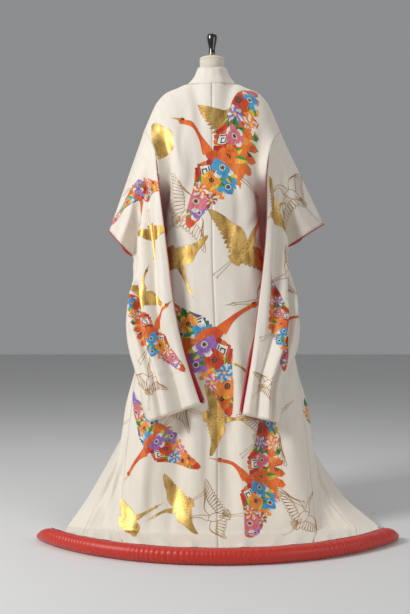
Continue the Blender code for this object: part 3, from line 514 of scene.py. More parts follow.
    def fold_panels(self):
        """Press the folds into back, front and overlap."""
        panels = ((self.back, self.back_shares), (self.front, 1 + self.front_shares),
                  (self.overlap, 2 + self.overlap_shares))
        for grid, across in panels:
            spans = np.broadcast_to(across, grid.shape[:2]).copy()
            depth = fold_depth(BODY_FOLDS, self.side, spans, grid[:, :, 2], BODY_FADE)
            grid += grid_normals(grid, level_only=True) * depth[:, :, None]

    def armhole(self, layer):
        """The body's armhole edge, which the sleeve's inner edge starts with."""
        panel = self.back[:, -1] if layer == "back" else self.front[:, 0]
        return panel[:YOKE_ROWS + 1]

    def sleeve_inner(self, layer):
        """Inner edge of a sleeve layer: the armhole, then the open edge below it."""
        armhole = self.armhole(layer)
        bottom = self.sleeve.inner[-1].height
        share = (np.array(SLEEVE_DOWN) - SLEEVE_CUFF) / (1 - SLEEVE_CUFF)
        heights = armhole[-1, 2] + (bottom - armhole[-1, 2]) * share ** INNER_DROP
        edge = by_height(self.sleeve.inner, heights, layer + "_x", layer + "_y")
        line = np.vstack([armhole, np.column_stack([edge, heights])])
        line[YOKE_ROWS:, 0] += ARMPIT_GAP
        return line

    def sleeve_outer(self, out):
        """Outer edge: the cuff's opening, bulging to one side, then the closed seam."""
        share = np.linspace(0, 1, YOKE_ROWS + 1)[:, None]
        top = np.array(self.sleeve.cuff_top)
        end = np.array(self.sleeve.cuff_end)
        cuff = top + (end - top) * share
        cuff[:, 1] += out * CUFF_BULGE * np.sin(math.pi * share[:, 0]) ** CUFF_ROUND
        below = (np.array(SLEEVE_DOWN) - SLEEVE_CUFF) / (1 - SLEEVE_CUFF)
        heights = end[2] + (self.sleeve.outer[-1].height - end[2]) * below ** OUTER_DROP
        edge = by_height(self.sleeve.outer, heights, "x", "y")
        return np.vstack([cuff, np.column_stack([edge, heights])])

    def sleeve_layers(self):
        """Back and front layer of the sleeve, with the same rows and columns."""
        down = np.concatenate([np.linspace(0, SLEEVE_CUFF, YOKE_ROWS + 1), SLEEVE_DOWN])
        across = np.array(SLEEVE_ACROSS, float)
        inner = self.sleeve_inner("back")
        outer = self.sleeve_outer(-1)
        inner_room = self.sleeve_inner("front") - inner
        outer_room = self.sleeve_outer(1) - outer
        columns, rows = np.meshgrid(across, down)
        outward = grid_normals(between(inner, outer, down, columns, rows), level_only=True)
        columns, rows = rounded_corner(across, down)
        back = between(inner, outer, down, columns, rows)
        folds = fold_depth(SLEEVE_FOLDS, self.side, columns, rows, SLEEVE_FADE)[:, :, None]
        folds = folds * (ease(columns / INNER_FADE) * ease((1 - columns) / OUTER_FADE))[:, :, None]
        seam_room = np.clip((1 - columns) / SLEEVE_SEAM_ROOM, 0, 1)
        seam_room[:YOKE_ROWS] = 1
        bottom_room = np.clip((1 - down) / SLEEVE_BOTTOM_ROOM, 0, 1)[:, None]
        start_room = (ease(down / TOP_ROOM)[:, None] * ease(across / INNER_ROOM)[None, :])
        room = SLEEVE_ROOM * seam_room * bottom_room * start_room
        front = back + inner_room[:, None] * (1 - across)[None, :, None]
        front += outer_room[:, None] * across[None, :, None]
        front -= outward * room[:, :, None]
        return back + outward * folds, front


def lean(height):
    """How far the robe's body stands to its right at a height."""
    return LEAN * ease((LEAN_TOP - height) / LEAN_DROP)


def hem_point(angles, centre_x, radius, height):
    """Points on an arc round the hem's centre; angle 0 is straight behind."""
    return np.column_stack([centre_x + radius * np.sin(angles),
                            HEM_CENTRE_Y - radius * np.cos(angles),
                            np.full(len(angles), height)])


def between(inner, outer, down, columns, rows):
    """Points between two edges, by their shares across and down."""
    grid = np.zeros(columns.shape + (3,))
    for axis in range(3):
        start = np.interp(rows, down, inner[:, axis])
        end = np.interp(rows, down, outer[:, axis])
        grid[:, :, axis] = start + (end - start) * columns
    return grid


def rounded_corner(across, down):
    """Grid shares with the sleeve's outer lower corner drawn in to a round."""
    columns, rows = np.meshgrid(across, down)
    from_edge = SLEEVE_CORNER - (1 - columns) * SLEEVE_WIDTH
    from_bottom = SLEEVE_CORNER - (1 - rows) * SLEEVE_LENGTH
    inside = (from_edge > 0) & (from_bottom > 0)
    reach = np.hypot(from_edge, from_bottom) + SLIGHT
    shrink = np.where(inside, np.maximum(from_edge, from_bottom) / reach, 1.0)
    columns = 1 - (SLEEVE_CORNER - from_edge * shrink) / SLEEVE_WIDTH
    rows = 1 - (SLEEVE_CORNER - from_bottom * shrink) / SLEEVE_LENGTH
    return columns, rows


def grid_normals(grid, level_only=False):
    """Outward directions of a grid whose rows go down and columns go to the right."""
    down = np.gradient(grid, axis=0)
    right = np.gradient(grid, axis=1)
    normals = np.cross(down, right)
    if level_only:
        normals[:, :, 2] = 0
    return unit(normals, SLIGHT)


# Fine cloth: spacing of its points, thickness of its layers, and where the lining lies
FINE = 0.0097
LINING_FINE = 0.018
SILK_LAYER = 0.0008
LINING_DEPTH = 0.0023
LINING_LAYER = 0.0005
SEAM_DIP = 0.0009
SEAM_SOFTNESS = 0.007

# Small creases pressed into a panel's outer face, beside the large folds, by panel: from
# one place on the flat cloth to another, with a width and a depth outwards
Crease = namedtuple("Crease", "across_from down_from across_to down_to width depth")
CREASES = {
    "back_left": (
        Crease(-0.144, 0.746, -0.144, 1.590, 0.0200, -0.0088),
        Crease(-0.084, 0.695, -0.093, 1.577, 0.0175, 0.0070),
        Crease(-0.029, 0.935, -0.045, 1.599, 0.0150, -0.0053),
        Crease(-0.212, 0.902, -0.221, 1.577, 0.0175, -0.0079),
        Crease(-0.238, 1.148, -0.274, 1.555, 0.0150, 0.0053),
        Crease(-0.093, 0.103, -0.195, 0.258, 0.0175, -0.0039),
        Crease(-0.169, 0.162, -0.264, 0.379, 0.0150, 0.0035),
        Crease(-0.274, 0.419, -0.076, 0.585, 0.0125, -0.0044),
        Crease(-0.186, 0.492, -0.037, 0.661, 0.0150, 0.0035),
        Crease(-0.068, 0.258, -0.076, 0.653, 0.0200, -0.0035),
        Crease(-0.236, 1.360, -0.232, 1.600, 0.0100, -0.0060),
        Crease(-0.160, 1.440, -0.165, 1.640, 0.0110, -0.0060),
    ),
    "back_right": (
        Crease(0.030, 0.795, 0.030, 1.590, 0.0175, -0.0079),
        Crease(0.085, 0.729, 0.068, 1.584, 0.0200, 0.0079),
        Crease(0.178, 0.795, 0.152, 1.584, 0.0187, -0.0096),
        Crease(0.203, 0.977, 0.229, 1.577, 0.0175, 0.0061),
        Crease(0.101, 1.215, 0.110, 1.590, 0.0125, -0.0044),
        Crease(0.127, 0.086, 0.238, 0.258, 0.0175, -0.0039),
        Crease(0.068, 0.119, 0.077, 0.403, 0.0200, 0.0035),
        Crease(0.325, 0.403, 0.127, 0.576, 0.0125, -0.0044),
        Crease(0.315, 0.484, 0.101, 0.661, 0.0137, 0.0039),
        Crease(0.152, 0.330, 0.093, 0.653, 0.0175, -0.0039),
        Crease(0.045, 1.280, 0.060, 1.560, 0.0160, -0.0050),
    ),
    "front_left": (
        Crease(-0.345, 1.224, -0.498, 1.616, 0.0175, -0.0070),
        Crease(-0.450, 1.367, -0.575, 1.599, 0.0150, 0.0053),
    ),
    "front_right": (
        Crease(0.537, 1.241, 0.431, 1.608, 0.0175, -0.0070),
        Crease(0.517, 1.375, 0.537, 1.616, 0.0150, 0.0056),
    ),
    "sleeve_back_left": (
        Crease(-0.029, 0.143, -0.247, 0.239, 0.0175, -0.0048),
        Crease(-0.090, 0.111, -0.320, 0.126, 0.0163, 0.0046),
        Crease(-0.209, 0.111, -0.345, 0.081, 0.0125, -0.0035),
        Crease(-0.311, 0.323, -0.154, 0.668, 0.0137, -0.0048),
        Crease(-0.345, 0.423, -0.247, 0.770, 0.0125, 0.0046),
        Crease(-0.285, 0.626, -0.339, 0.879, 0.0125, -0.0046),
        Crease(-0.256, 0.820, -0.000, 0.853, 0.0080, 0.0018),
        Crease(-0.285, 0.829, -0.000, 0.862, 0.0080, -0.0018),
        Crease(-0.038, 0.584, -0.055, 0.923, 0.0137, -0.0048),
        Crease(-0.072, 0.414, -0.055, 0.744, 0.0150, 0.0042),
    ),
    "sleeve_back_right": (
        Crease(0.028, 0.143, 0.330, 0.199, 0.0175, -0.0048),
        Crease(0.094, 0.111, 0.350, 0.118, 0.0163, 0.0046),
        Crease(0.189, 0.103, 0.350, 0.073, 0.0125, -0.0035),
        Crease(0.247, 0.388, 0.134, 0.668, 0.0150, -0.0048),
        Crease(0.276, 0.457, 0.276, 0.735, 0.0125, 0.0046),
        Crease(0.028, 0.568, 0.060, 0.906, 0.0150, -0.0048),
        Crease(0.049, 0.431, 0.060, 0.744, 0.0150, 0.0042),
        Crease(0.000, 0.829, 0.350, 0.820, 0.0080, 0.0018),
        Crease(0.000, 0.845, 0.350, 0.845, 0.0080, -0.0018),
    ),
    "collar_right": (
        Crease(0.020, -0.010, 0.052, 0.080, 0.0110, -0.0034),
        Crease(0.060, -0.010, 0.085, 0.080, 0.0090, 0.0026),
    ),
    "collar_left": (
        Crease(-0.036, -0.010, -0.062, 0.080, 0.0110, -0.0030),
        Crease(-0.008, -0.020, -0.030, 0.080, 0.0120, 0.0020),
    ),
}

# Puckers of the train above the padded hem: how far apart, long, wide and deep, how deep
# the troughs are beside the ridges, how far places and lengths sway, and how soon they fade
# up the train and at the hem. No silk lies lower than the last height.
PUCKER_SPACING = 0.043
PUCKER_REACH = 0.42
PUCKER_WIDTH = 0.0130
PUCKER_DEPTH = 0.0100
TROUGH_SHARE = 0.25
PUCKER_SWAY = 0.22
PUCKER_REACH_SWAY = 0.20
PUCKER_FADE = 1.8
PUCKER_END = 0.012
LOWEST_SILK = 0.0034
PUCKERED = ("back", "front", "overlap")


def fine_marks(knots, spacing):
    """Places along a run of knots, close together and with every knot among them."""
    marks = [knots[0]]
    for low, high in zip(knots, knots[1:]):
        steps = max(1, math.ceil((high - low) / spacing))
        marks.extend(np.linspace(low, high, steps + 1)[1:])
    return np.array(marks)


def knots_along(grid, axis):
    """Mean distance of each row or column of a grid from its first one."""
    steps = np.linalg.norm(np.diff(grid, axis=axis), axis=2).mean(axis=1 - axis)
    return np.concatenate(([0.0], np.cumsum(steps)))


class Panel:
    """A fine cloth panel: points, and each row's and column's place on the flat cloth."""

    def __init__(self, name, coarse, down_knots, across_knots, width, across_start=0.0,
                 spacing=FINE):
        self.name = name
        rows, columns = coarse.shape[:2]
        down = fine_marks(down_knots, spacing)
        tall = smooth(down_knots, coarse.reshape(rows, -1), down).reshape(len(down), columns, 3)
        across = fine_marks(across_knots, spacing)
        wide = smooth(across_knots, np.swapaxes(tall, 0, 1).reshape(columns, -1), across)
        self.points = np.swapaxes(wide.reshape(len(across), len(down), 3), 0, 1)
        self.down = down
        self.across = across_start + across / across_knots[-1] * width

    def mirror(self):
        """Turn a panel worked out at positive X into the left side's."""
        self.points = self.points * np.array([-1.0, 1.0, 1.0])
        self.across = -self.across
        return self

    def press_creases(self, out):
        """Move points along the panel's outward side where creases run."""
        across, down = np.meshgrid(self.across, self.down)
        depth = np.zeros_like(across)
        for crease in CREASES.get(self.name, ()):
            run = np.array([crease.across_to - crease.across_from,
                            crease.down_to - crease.down_from])
            length = np.linalg.norm(run)
            run = run / length
            along = (across - crease.across_from) * run[0] + (down - crease.down_from) * run[1]
            beside = (across - crease.across_from) * run[1] - (down - crease.down_from) * run[0]
            taper = hat(np.clip(along / length * 2 - 1, -1, 1))
            depth += crease.depth * np.exp(-(beside / crease.width) ** 2) * np.sqrt(taper)
        if self.name.split("_")[0] in PUCKERED:
            depth += self.puckers()
        if self.name.startswith("back"):
            depth -= SEAM_DIP * np.exp(-(across / SEAM_SOFTNESS) ** 2)
        self.points += grid_normals(self.points) * (out * depth)[:, :, None]
        self.points[:, :, 2] = np.maximum(self.points[:, :, 2], LOWEST_SILK)

    def puckers(self):
        """Ridges and troughs that run up from the hem; sines of unlike pitch vary them."""
        along = run_along(self.points[-1])
        depth = np.zeros((len(self.down), len(along)))
        above = self.down[-1] - self.down
        for index in range(int(along[-1] / PUCKER_SPACING) + 1):
            sway = math.sin(index * 2.4) + 0.6 * math.sin(index * 5.1 + len(self.name))
            middle = (index + 0.5 + PUCKER_SWAY * sway) * PUCKER_SPACING
            reach = PUCKER_REACH * (1.0 + PUCKER_REACH_SWAY * math.sin(index * 3.7 + 1.0))
            size = PUCKER_DEPTH * (0.7 + 0.4 * math.sin(index * 1.9))
            size *= 1 if index % 2 else -TROUGH_SHARE
            profile = np.exp(-((along - middle) / PUCKER_WIDTH) ** 2)
            fade = ease(PUCKER_FADE * (1 - above / reach)) * np.clip(above / PUCKER_END, 0, 1)
            depth += size * fade[:, None] * profile[None, :]
        return depth


# A closed thin wall: its points, its cells and each point's place on the flat cloth
Wall = namedtuple("Wall", "points cells places")


class Shell:
    """Several panels joined into one sheet by point number, for a closed thin wall."""

    def __init__(self):
        self.points = []
        self.places = []
        self.cells = []

    def number(self, panel):
        """Number a panel's points."""
        first = len(self.points)
        self.points.extend(panel.points.reshape(-1, 3))
        across, down = np.meshgrid(panel.across, panel.down)
        self.places.extend(np.stack([across, down], axis=2).reshape(-1, 2))
        return np.arange(first, len(self.points)).reshape(panel.points.shape[:2])

    def add(self, numbers, flip):
        """Add the four-sided cells of a grid of numbers."""
        cells = np.stack([numbers[:-1, :-1], numbers[1:, :-1],
                          numbers[1:, 1:], numbers[:-1, 1:]], axis=2).reshape(-1, 4)
        self.cells.append(cells[:, ::-1] if flip else cells)

    def wall(self, start, thickness):
        """Outer and inner skins at two depths, with the rim between them."""
        points = np.array(self.points)
        places = np.array(self.places)
        cells = np.concatenate(self.cells)
        used, cells = np.unique(cells, return_inverse=True)
        cells = cells.reshape(-1, 4)
        points, places = points[used], places[used]
        offsets = even_offsets(points, cells)
        count = len(points)
        skins = np.concatenate([points - offsets * start, points - offsets * (start + thickness)])
        faces = [cells, cells[:, ::-1] + count, rim_cells(cells, count)]
        return Wall(skins, np.concatenate(faces), np.concatenate([places, places]))


# A wall's offset at a fold grows to the inverse of this at most
LEAST_EVEN = 0.5


def even_offsets(points, cells):
    """Offset of each point per metre of wall, a little longer at folds."""
    corners = points[cells]
    across, up = corners[:, 2] - corners[:, 0], corners[:, 3] - corners[:, 1]
    normals = unit(np.cross(across, up), NOTHING)
    total = np.zeros_like(points)
    for corner in range(4):
        np.add.at(total, cells[:, corner], normals)
    mean = unit(total, NOTHING)
    evenness = np.zeros(len(points))
    touching = np.zeros(len(points))
    for corner in range(4):
        np.add.at(evenness, cells[:, corner], np.sum(mean[cells[:, corner]] * normals, axis=1))
        np.add.at(touching, cells[:, corner], 1)
    return mean / np.maximum(evenness / np.maximum(touching, 1), LEAST_EVEN)[:, None]


def border_sides(cells, count):
    """The cells' sides that no other cell shares: their starts, ends and which they are."""
    starts = cells.reshape(-1)
    ends = np.roll(cells, -1, axis=1).reshape(-1)
    border = ~np.isin(starts * count + ends, ends * count + starts) & (starts != ends)
    return starts[border], ends[border], border


def rim_cells(cells, count):
    """Cells that close the gap between two skins along their border."""
    start, end, border = border_sides(cells, count)
    return np.stack([end, start, start + count, end + count], axis=1)


def riding_piece(name, data):
    """A new object of a mesh, riding the part."""
    piece = bpy.data.objects.new(name, data)
    bpy.context.scene.collection.objects.link(piece)
    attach(piece, "root")
    return piece


def make_mesh_piece(name, wall, material, replaced=()):
    """An object of a wall, with its flat cloth places as UV map."""
    data = bpy.data.meshes.new(name)
    faces = [list(dict.fromkeys(cell)) for cell in wall.cells.tolist()]
    faces = [face for face in faces if len(face) > 2]
    data.from_pydata(wall.points.tolist(), [], faces)
    data.validate()
    layer = data.uv_layers.new(name="FlatCloth")
    corner_points = np.zeros(len(data.loops), dtype=int)
    data.loops.foreach_get("vertex_index", corner_points)
    layer.data.foreach_set("uv", wall.places[corner_points].reshape(-1))
    data.shade_smooth()
    data.materials.append(material)
    piece = riding_piece(name, data)
    if replaced:
        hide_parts(*replaced)
    return piece


class FineRobe:
    """The fine panels of both sides, from the same sections as the solids."""

    def __init__(self, spacing=FINE):
        self.sides = {"right": RobeSide("right"), "left": RobeSide("left")}
        down = knots_along(self.sides["right"].back, 0)
        sleeve_down = knots_along(self.sides["right"].sleeve_back, 0)
        self.panels = {}
        for side, robe in self.sides.items():
            sleeve_across = knots_along(robe.sleeve_back, 1)
            made = [
                Panel("back_" + side, robe.back, down, knots_along(robe.back, 1),
                      SHOULDER_WIDTH, 0.0, spacing),
                Panel("front_" + side, robe.front, down, knots_along(robe.front, 1),
                      FRONT_WIDTH, SHOULDER_WIDTH, spacing),
                Panel("overlap_" + side, robe.overlap, down[OVERLAP_START_ROW:],
                      knots_along(robe.overlap, 1), OVERLAP_WIDTH,
                      SHOULDER_WIDTH + FRONT_WIDTH, spacing),
                Panel("sleeve_back_" + side, robe.sleeve_back, sleeve_down, sleeve_across,
                      SLEEVE_WIDTH, 0.0, spacing),
                Panel("sleeve_front_" + side, robe.sleeve_front, sleeve_down, sleeve_across,
                      SLEEVE_WIDTH, 0.0, spacing),
            ]
            for panel in made:
                if side == "left":
                    panel.mirror()
                self.panels[panel.name] = panel
            self.join(side)
        for panel in self.panels.values():
            flipped = panel.name.endswith("left") != panel.name.startswith("sleeve_front")
            panel.press_creases(-1.0 if flipped else 1.0)
        for side in self.sides:
            self.weld_sleeve(side, sleeve_down)

    def join(self, side):
        """Let the overlap start on the front's own edge."""
        front = self.panels["front_" + side]
        overlap = self.panels["overlap_" + side]
        overlap.points[:, 0] = front.points[-len(overlap.down):, -1]

    def weld_sleeve(self, side, sleeve_down):
        """Give both layers of a sleeve the same seam below the cuff."""
        back = self.panels["sleeve_back_" + side]
        front = self.panels["sleeve_front_" + side]
        closed = back.down >= sleeve_down[YOKE_ROWS] - SLIGHT
        seam = (back.points[closed, -1] + front.points[closed, -1]) / 2
        for layer in (back, front):
            layer.points[closed, -1] = seam
        bottom = (back.points[-1] + front.points[-1]) / 2
        back.points[-1] = bottom
        front.points[-1] = bottom
        front.points[0] = back.points[0]
        self.closed_rows = closed


def body_shell(robe, names):
    """One shell of body panels that don't touch each other."""
    shell = Shell()
    for name in names:
        shell.add(shell.number(robe.panels[name]), name.endswith("left"))
    return shell


def sleeve_shell(robe, side):
    """Both layers of a sleeve, joined along its fold, its outer seam and its bottom."""
    shell = Shell()
    back = shell.number(robe.panels["sleeve_back_" + side])
    front = shell.number(robe.panels["sleeve_front_" + side])
    front[0] = back[0]
    front[-1] = back[-1]
    front[robe.closed_rows, -1] = back[robe.closed_rows, -1]
    flip = side == "left"
    shell.add(back, flip)
    shell.add(front, not flip)
    return shell


# Ornament: every motif is a set of closed outlines in metres round its own middle, painted
# from back to front. A motif is cut along its outlines and along the cloth's own grid, so
# that it lies on the cloth without a gap. The numbers inside a drawing are shares of its size.
DYE, FOIL, THREAD, BARE = 0, 1, 2, 3

# How high a patch lies over the silk, how much higher each layer, and how deep its edge sinks
LIFT = 0.00028
LIFT_STEP = 0.00012
PATCH_DEPTH = 0.0002

# Dyes, as linear red, green and blue
DYES = {
    "vermilion": (0.680, 0.060, 0.006),
    "orange": (0.850, 0.170, 0.010),
    "amber": (0.860, 0.300, 0.030),
    "red": (0.430, 0.014, 0.012),
    "wine": (0.130, 0.008, 0.020),
    "yellow": (0.900, 0.560, 0.050),
    "green": (0.012, 0.170, 0.038),
    "leaf": (0.070, 0.280, 0.030),
    "deep_green": (0.004, 0.062, 0.022),
    "sky": (0.060, 0.360, 0.600),
    "blue": (0.015, 0.060, 0.360),
    "purple": (0.140, 0.030, 0.260),
    "lilac": (0.350, 0.160, 0.480),
    "pink": (0.700, 0.180, 0.220),
    "rose": (0.540, 0.050, 0.100),
    "white": (0.830, 0.800, 0.740),
    "black": (0.014, 0.012, 0.014),
    "brown": (0.110, 0.045, 0.018),
}

# A painted outline: the dyes at its origin and at its reach, its material, the wing that it
# belongs to and the wing that it is cut off at
Shape = namedtuple("Shape", "outline inner outer origin reach material member clip")


def shape(points, inner, outer=None, origin=None, reach=None, material=DYE, member="", clip=""):
    """A painted outline, shaded from its origin outwards between two dyes."""
    points = np.asarray(points, dtype=float)
    origin = points.mean(axis=0) if origin is None else np.asarray(origin, dtype=float)
    if reach is None:
        reach = float(np.linalg.norm(points - origin, axis=1).max())
    return Shape(points, inner, outer or inner, origin, reach, material, member, clip)


def heading(turn):
    """A step of length 1 in a direction."""
    return np.array([math.cos(turn), math.sin(turn)])


def placed(points, angle, move=(0.0, 0.0)):
    """An outline turned and moved."""
    cosine, sine = math.cos(angle), math.sin(angle)
    return points @ np.array([[cosine, sine], [-sine, cosine]]) + np.asarray(move)


def turned(shapes, angle=0.0, move=(0.0, 0.0), flip=False):
    """Shapes mirrored if asked, turned and moved."""
    side = np.array([-1.0 if flip else 1.0, 1.0])
    return [item._replace(outline=placed(item.outline * side, angle, move),
                          origin=placed(item.origin * side, angle, move)) for item in shapes]


def grown(points, amount):
    """An outline moved outwards along its own sides."""
    ahead = np.roll(points, -1, axis=0) - np.roll(points, 1, axis=0)
    following = np.roll(points, -1, axis=0)
    area = np.sum(points[:, 0] * following[:, 1] - points[:, 1] * following[:, 0])
    out = np.column_stack([ahead[:, 1], -ahead[:, 0]]) * (1.0 if area > 0 else -1.0)
    return points + unit(out) * amount


def rim_line(outline, width, member=""):
    """A band of gold thread that shows beside the shape laid over it."""
    return shape(grown(outline, width), "amber", material=THREAD, member=member)


def ribbon(path, widths):
    """A band along a path, with its widths spread evenly from end to end."""
    path = np.asarray(path, dtype=float)
    ahead = np.gradient(path, axis=0)
    beside = unit(np.column_stack([-ahead[:, 1], ahead[:, 0]]))
    half = np.interp(np.linspace(0, 1, len(path)), np.linspace(0, 1, len(widths)), widths) / 2
    reach = beside * half[:, None]
    return np.concatenate([path + reach, (path - reach)[::-1]])


def curve(points, count=12):
    """A smooth path through a few points."""
    points = np.asarray(points, dtype=float)
    knots = run_along(points)
    return smooth(knots, points, np.linspace(0, knots[-1], count))


def leaf_outline(length, width, sharp=1.0, points=5):
    """A leaf or petal from its foot at the origin along +x."""
    along = np.linspace(0, 1, points)
    half = width / 2 * np.sin(math.pi * along ** sharp) ** 0.8
    upper = np.column_stack([along * length, half])
    lower = np.column_stack([along[::-1] * length, -half[::-1]])
    return np.concatenate([upper, lower[1:-1]])


def petal_outline(length, width, notch=0.06, points=7):
    """A broad petal with a softly notched end."""
    turn = np.linspace(-math.pi * 0.86, math.pi * 0.86, points)
    reach = 1.0 - notch * np.exp(-(turn / 0.35) ** 2)
    x = length * (0.55 + 0.45 * np.cos(turn) * reach)
    y = width / 2 * np.sin(turn) * (0.75 + 0.25 * np.cos(turn))
    return np.concatenate([np.column_stack([x, y]), [[0.0, 0.0]]])


def disc(radius, move=(0.0, 0.0), points=9):
    """A round outline."""
    turn = np.linspace(0, 2 * math.pi, points, endpoint=False)
    return np.column_stack([np.cos(turn), np.sin(turn)]) * radius + np.asarray(move)


def peony(radius, dark, light, rim, turn=0.0, clip=""):
    """A full flower of three rings of petals round a dark centre with a pale edge."""
    made = []
    rings = ((7, 1.0, 0.86), (5, 0.70, 0.74), (4, 0.42, 0.56))
    for ring, (count, size, width) in enumerate(rings):
        for index in range(count):
            uneven = index + 0.12 * math.sin(index * 2.3)
            angle = turn + ring * 0.45 + 2 * math.pi * uneven / count
            petal = petal_outline(radius * size, radius * width)
            tip = rim if ring == 0 and index % 2 else light
            made.append(shape(placed(petal, angle), dark, tip, (0, 0), radius * size, clip=clip))
    edge = "white" if rim == "white" else "wine"
    made.append(shape(disc(radius * 0.25), edge, clip=clip))
    made.append(shape(disc(radius * 0.19), "black", clip=clip))
    for index in range(5):
        spot = heading(turn + 2 * math.pi * index / 5) * radius * 0.115
        made.append(shape(disc(radius * 0.036, spot, 4), "yellow", clip=clip))
    return made


def daisy(radius, dark, light, centre, count=14, turn=0.0, clip=""):
    """A chrysanthemum of two rings of narrow petals."""
    made = []
    for ring, size in enumerate((1.0, 0.66)):
        for index in range(count):
            angle = turn + 2 * math.pi * (index + 0.5 * ring) / count
            petal = leaf_outline(radius * size, radius * 0.40 * size, 1.5, 4)
            tone = (dark, light) if (index + ring) % 2 else (dark, "white")
            made.append(shape(placed(petal, angle), *tone, (0, 0), radius * size, clip=clip))
    made.append(shape(disc(radius * 0.17), centre, clip=clip))
    return made


def leaf_spray(length, tones, turn=0.0, count=3, clip=""):
    """A few pointed leaves from one foot, each in two greens with a pale rib."""
    made = []
    for index in range(count):
        angle = turn + (index - (count - 1) / 2) * 0.62
        size = length * (1.0 - 0.14 * abs(index - (count - 1) / 2))
        leaf = leaf_outline(size, size * 0.42, 0.85)
        half = np.concatenate([leaf[:5], [[size * 0.5, -size * 0.02]]])
        made.append(shape(placed(leaf, angle), tones[0], tones[1], (0, 0), size, clip=clip))
        made.append(shape(placed(half, angle), tones[1], tones[2], (0, 0), size, clip=clip))
    return made


def fret_patch(size, turn=0.0, clip=""):
    """A small slanted square with an angular spiral, in white and black."""
    square = np.array([(-1, -1), (1, -1), (1, 1), (-1, 1)]) * size / 2
    made = [shape(placed(square * 1.1, turn), "black", clip=clip),
            shape(placed(square, turn), "white", clip=clip)]
    path = np.array([(-0.34, -0.36), (0.34, -0.36), (0.34, 0.34), (-0.16, 0.34),
                     (-0.16, -0.10), (0.10, -0.10)]) * size
    for start, end in zip(path, path[1:]):
        run = (end - start) / np.linalg.norm(end - start) * size * 0.06
        bar = ribbon([start - run, end + run], (size * 0.12, size * 0.12))
        made.append(shape(placed(bar, turn), "black", clip=clip))
    return made


# Each wing: where its arm starts, bends and ends, how its feathers turn and how long they are
Wing = namedtuple("Wing", "root wrist tip first_turn last_turn first_length last_length count")


def wing_frame(wing, count):
    """Foot, direction and length of each feather along the wing's arm."""
    arm = curve([wing.root, wing.wrist, wing.tip], count)
    share = np.linspace(0, 1, count)
    turns = wing.first_turn + (wing.last_turn - wing.first_turn) * share
    lengths = wing.first_length + (wing.last_length - wing.first_length) * share ** 1.2
    return arm, turns, lengths


def feather(foot, turn, length, width, bend=0.08):
    """A long feather with a slight bend and a rounded point."""
    along = np.array([0.0, 0.35, 0.7, 0.92, 1.0])
    half = width / 2 * np.array([0.35, 0.9, 1.0, 0.72, 0.0])
    sway = bend * length * along ** 2
    upper = np.column_stack([along * length, sway + half])
    lower = np.column_stack([along * length, sway - half])[::-1]
    return placed(np.concatenate([upper, lower[1:]]), turn, foot)


def feather_fan(wing, width, tones, material, line, member):
    """The long feathers of a wing, the inner ones over the outer ones."""
    arm, turns, lengths = wing_frame(wing, wing.count)
    made = []
    for index in range(wing.count - 1, -1, -1):
        outline = feather(arm[index], turns[index], lengths[index], width)
        dark, light = tones[index % len(tones)]
        if line:
            made.append(rim_line(outline, line, member))
        made.append(shape(outline, dark, light, arm[index], lengths[index], material,
                          member=member))
    return made


def wing_cover(wing, share, count=10):
    """Outline of a wing's cover feathers, scalloped along its lower edge."""
    arm, turns, lengths = wing_frame(wing, count)
    lower = []
    for index in range(count):
        onward = turns[min(index + 1, count - 1)] - turns[index]
        for swell, along in ((0.92, 0.0), (1.06, 0.5)):
            turn = turns[index] + along * onward
            reach = lengths[index] * share * swell
            lower.append(arm[index] + heading(turn) * reach)
    return np.concatenate([arm, np.array(lower)[::-1]])


def neck_and_head(size, bend, dark, light, line, material=DYE):
    """A crane's long neck, head, crown and beak, from the breast along +x."""
    path = curve([(0.16, 0.0), (0.34, 0.05 + bend), (0.50, 0.09 + bend * 0.6),
                  (0.66, 0.12 - bend * 0.4)], 12) * size
    tip = path[-1]
    ahead = path[-1] - path[-2]
    turn = math.atan2(ahead[1], ahead[0])
    neck = ribbon(path, (0.155 * size, 0.075 * size, 0.048 * size, 0.044 * size))
    head = placed(leaf_outline(0.115 * size, 0.070 * size, 0.8), turn, tip - ahead * 0.5)
    beak = placed(np.array([(0, 0.017), (0.15, 0.0), (0, -0.014)]) * size, turn,
                  tip + ahead / np.linalg.norm(ahead) * 0.070 * size)
    crown = placed(leaf_outline(0.055 * size, 0.024 * size), turn + 0.25,
                   tip + np.array([0.006, 0.016]) * size)
    eye = disc(0.0055 * size, tip + ahead / np.linalg.norm(ahead) * 0.050 * size, 6)
    made = [rim_line(neck, line),
            rim_line(head, line),
            shape(neck, dark, light, material=material),
            shape(head, dark, light, material=material),
            shape(beak, "amber", "yellow", material=FOIL if material == DYE else material)]
    if material == DYE:
        made.append(shape(crown, "wine"))
        made.append(shape(eye, "black"))
    return made


def crane_body(size, dark, light, line, material=DYE):
    """Body and spread tail of a crane that flies to +x."""
    made = []
    for index in range(7):
        turn = math.pi + (index - 3) * 0.17
        tail = feather(np.array([-0.16, 0.0]) * size, turn, 0.26 * size, 0.062 * size, 0.0)
        made.append(rim_line(tail, line))
        made.append(shape(tail, dark, light, (-0.16 * size, 0), 0.26 * size, material))
    body = leaf_outline(0.48 * size, 0.21 * size, 0.92, 12) + np.array([-0.25, 0.0]) * size
    made.append(rim_line(body, line))
    made.append(shape(body, dark, light, (0.1 * size, 0), 0.36 * size, material))
    for index in range(6):
        place = np.array([0.10 - 0.062 * index, 0.034 * (-1) ** index * (1 - 0.1 * index)]) * size
        stroke = placed(leaf_outline(0.080 * size, 0.022 * size), math.pi, place)
        made.append(shape(stroke, "amber", "yellow", material=THREAD))
    return made


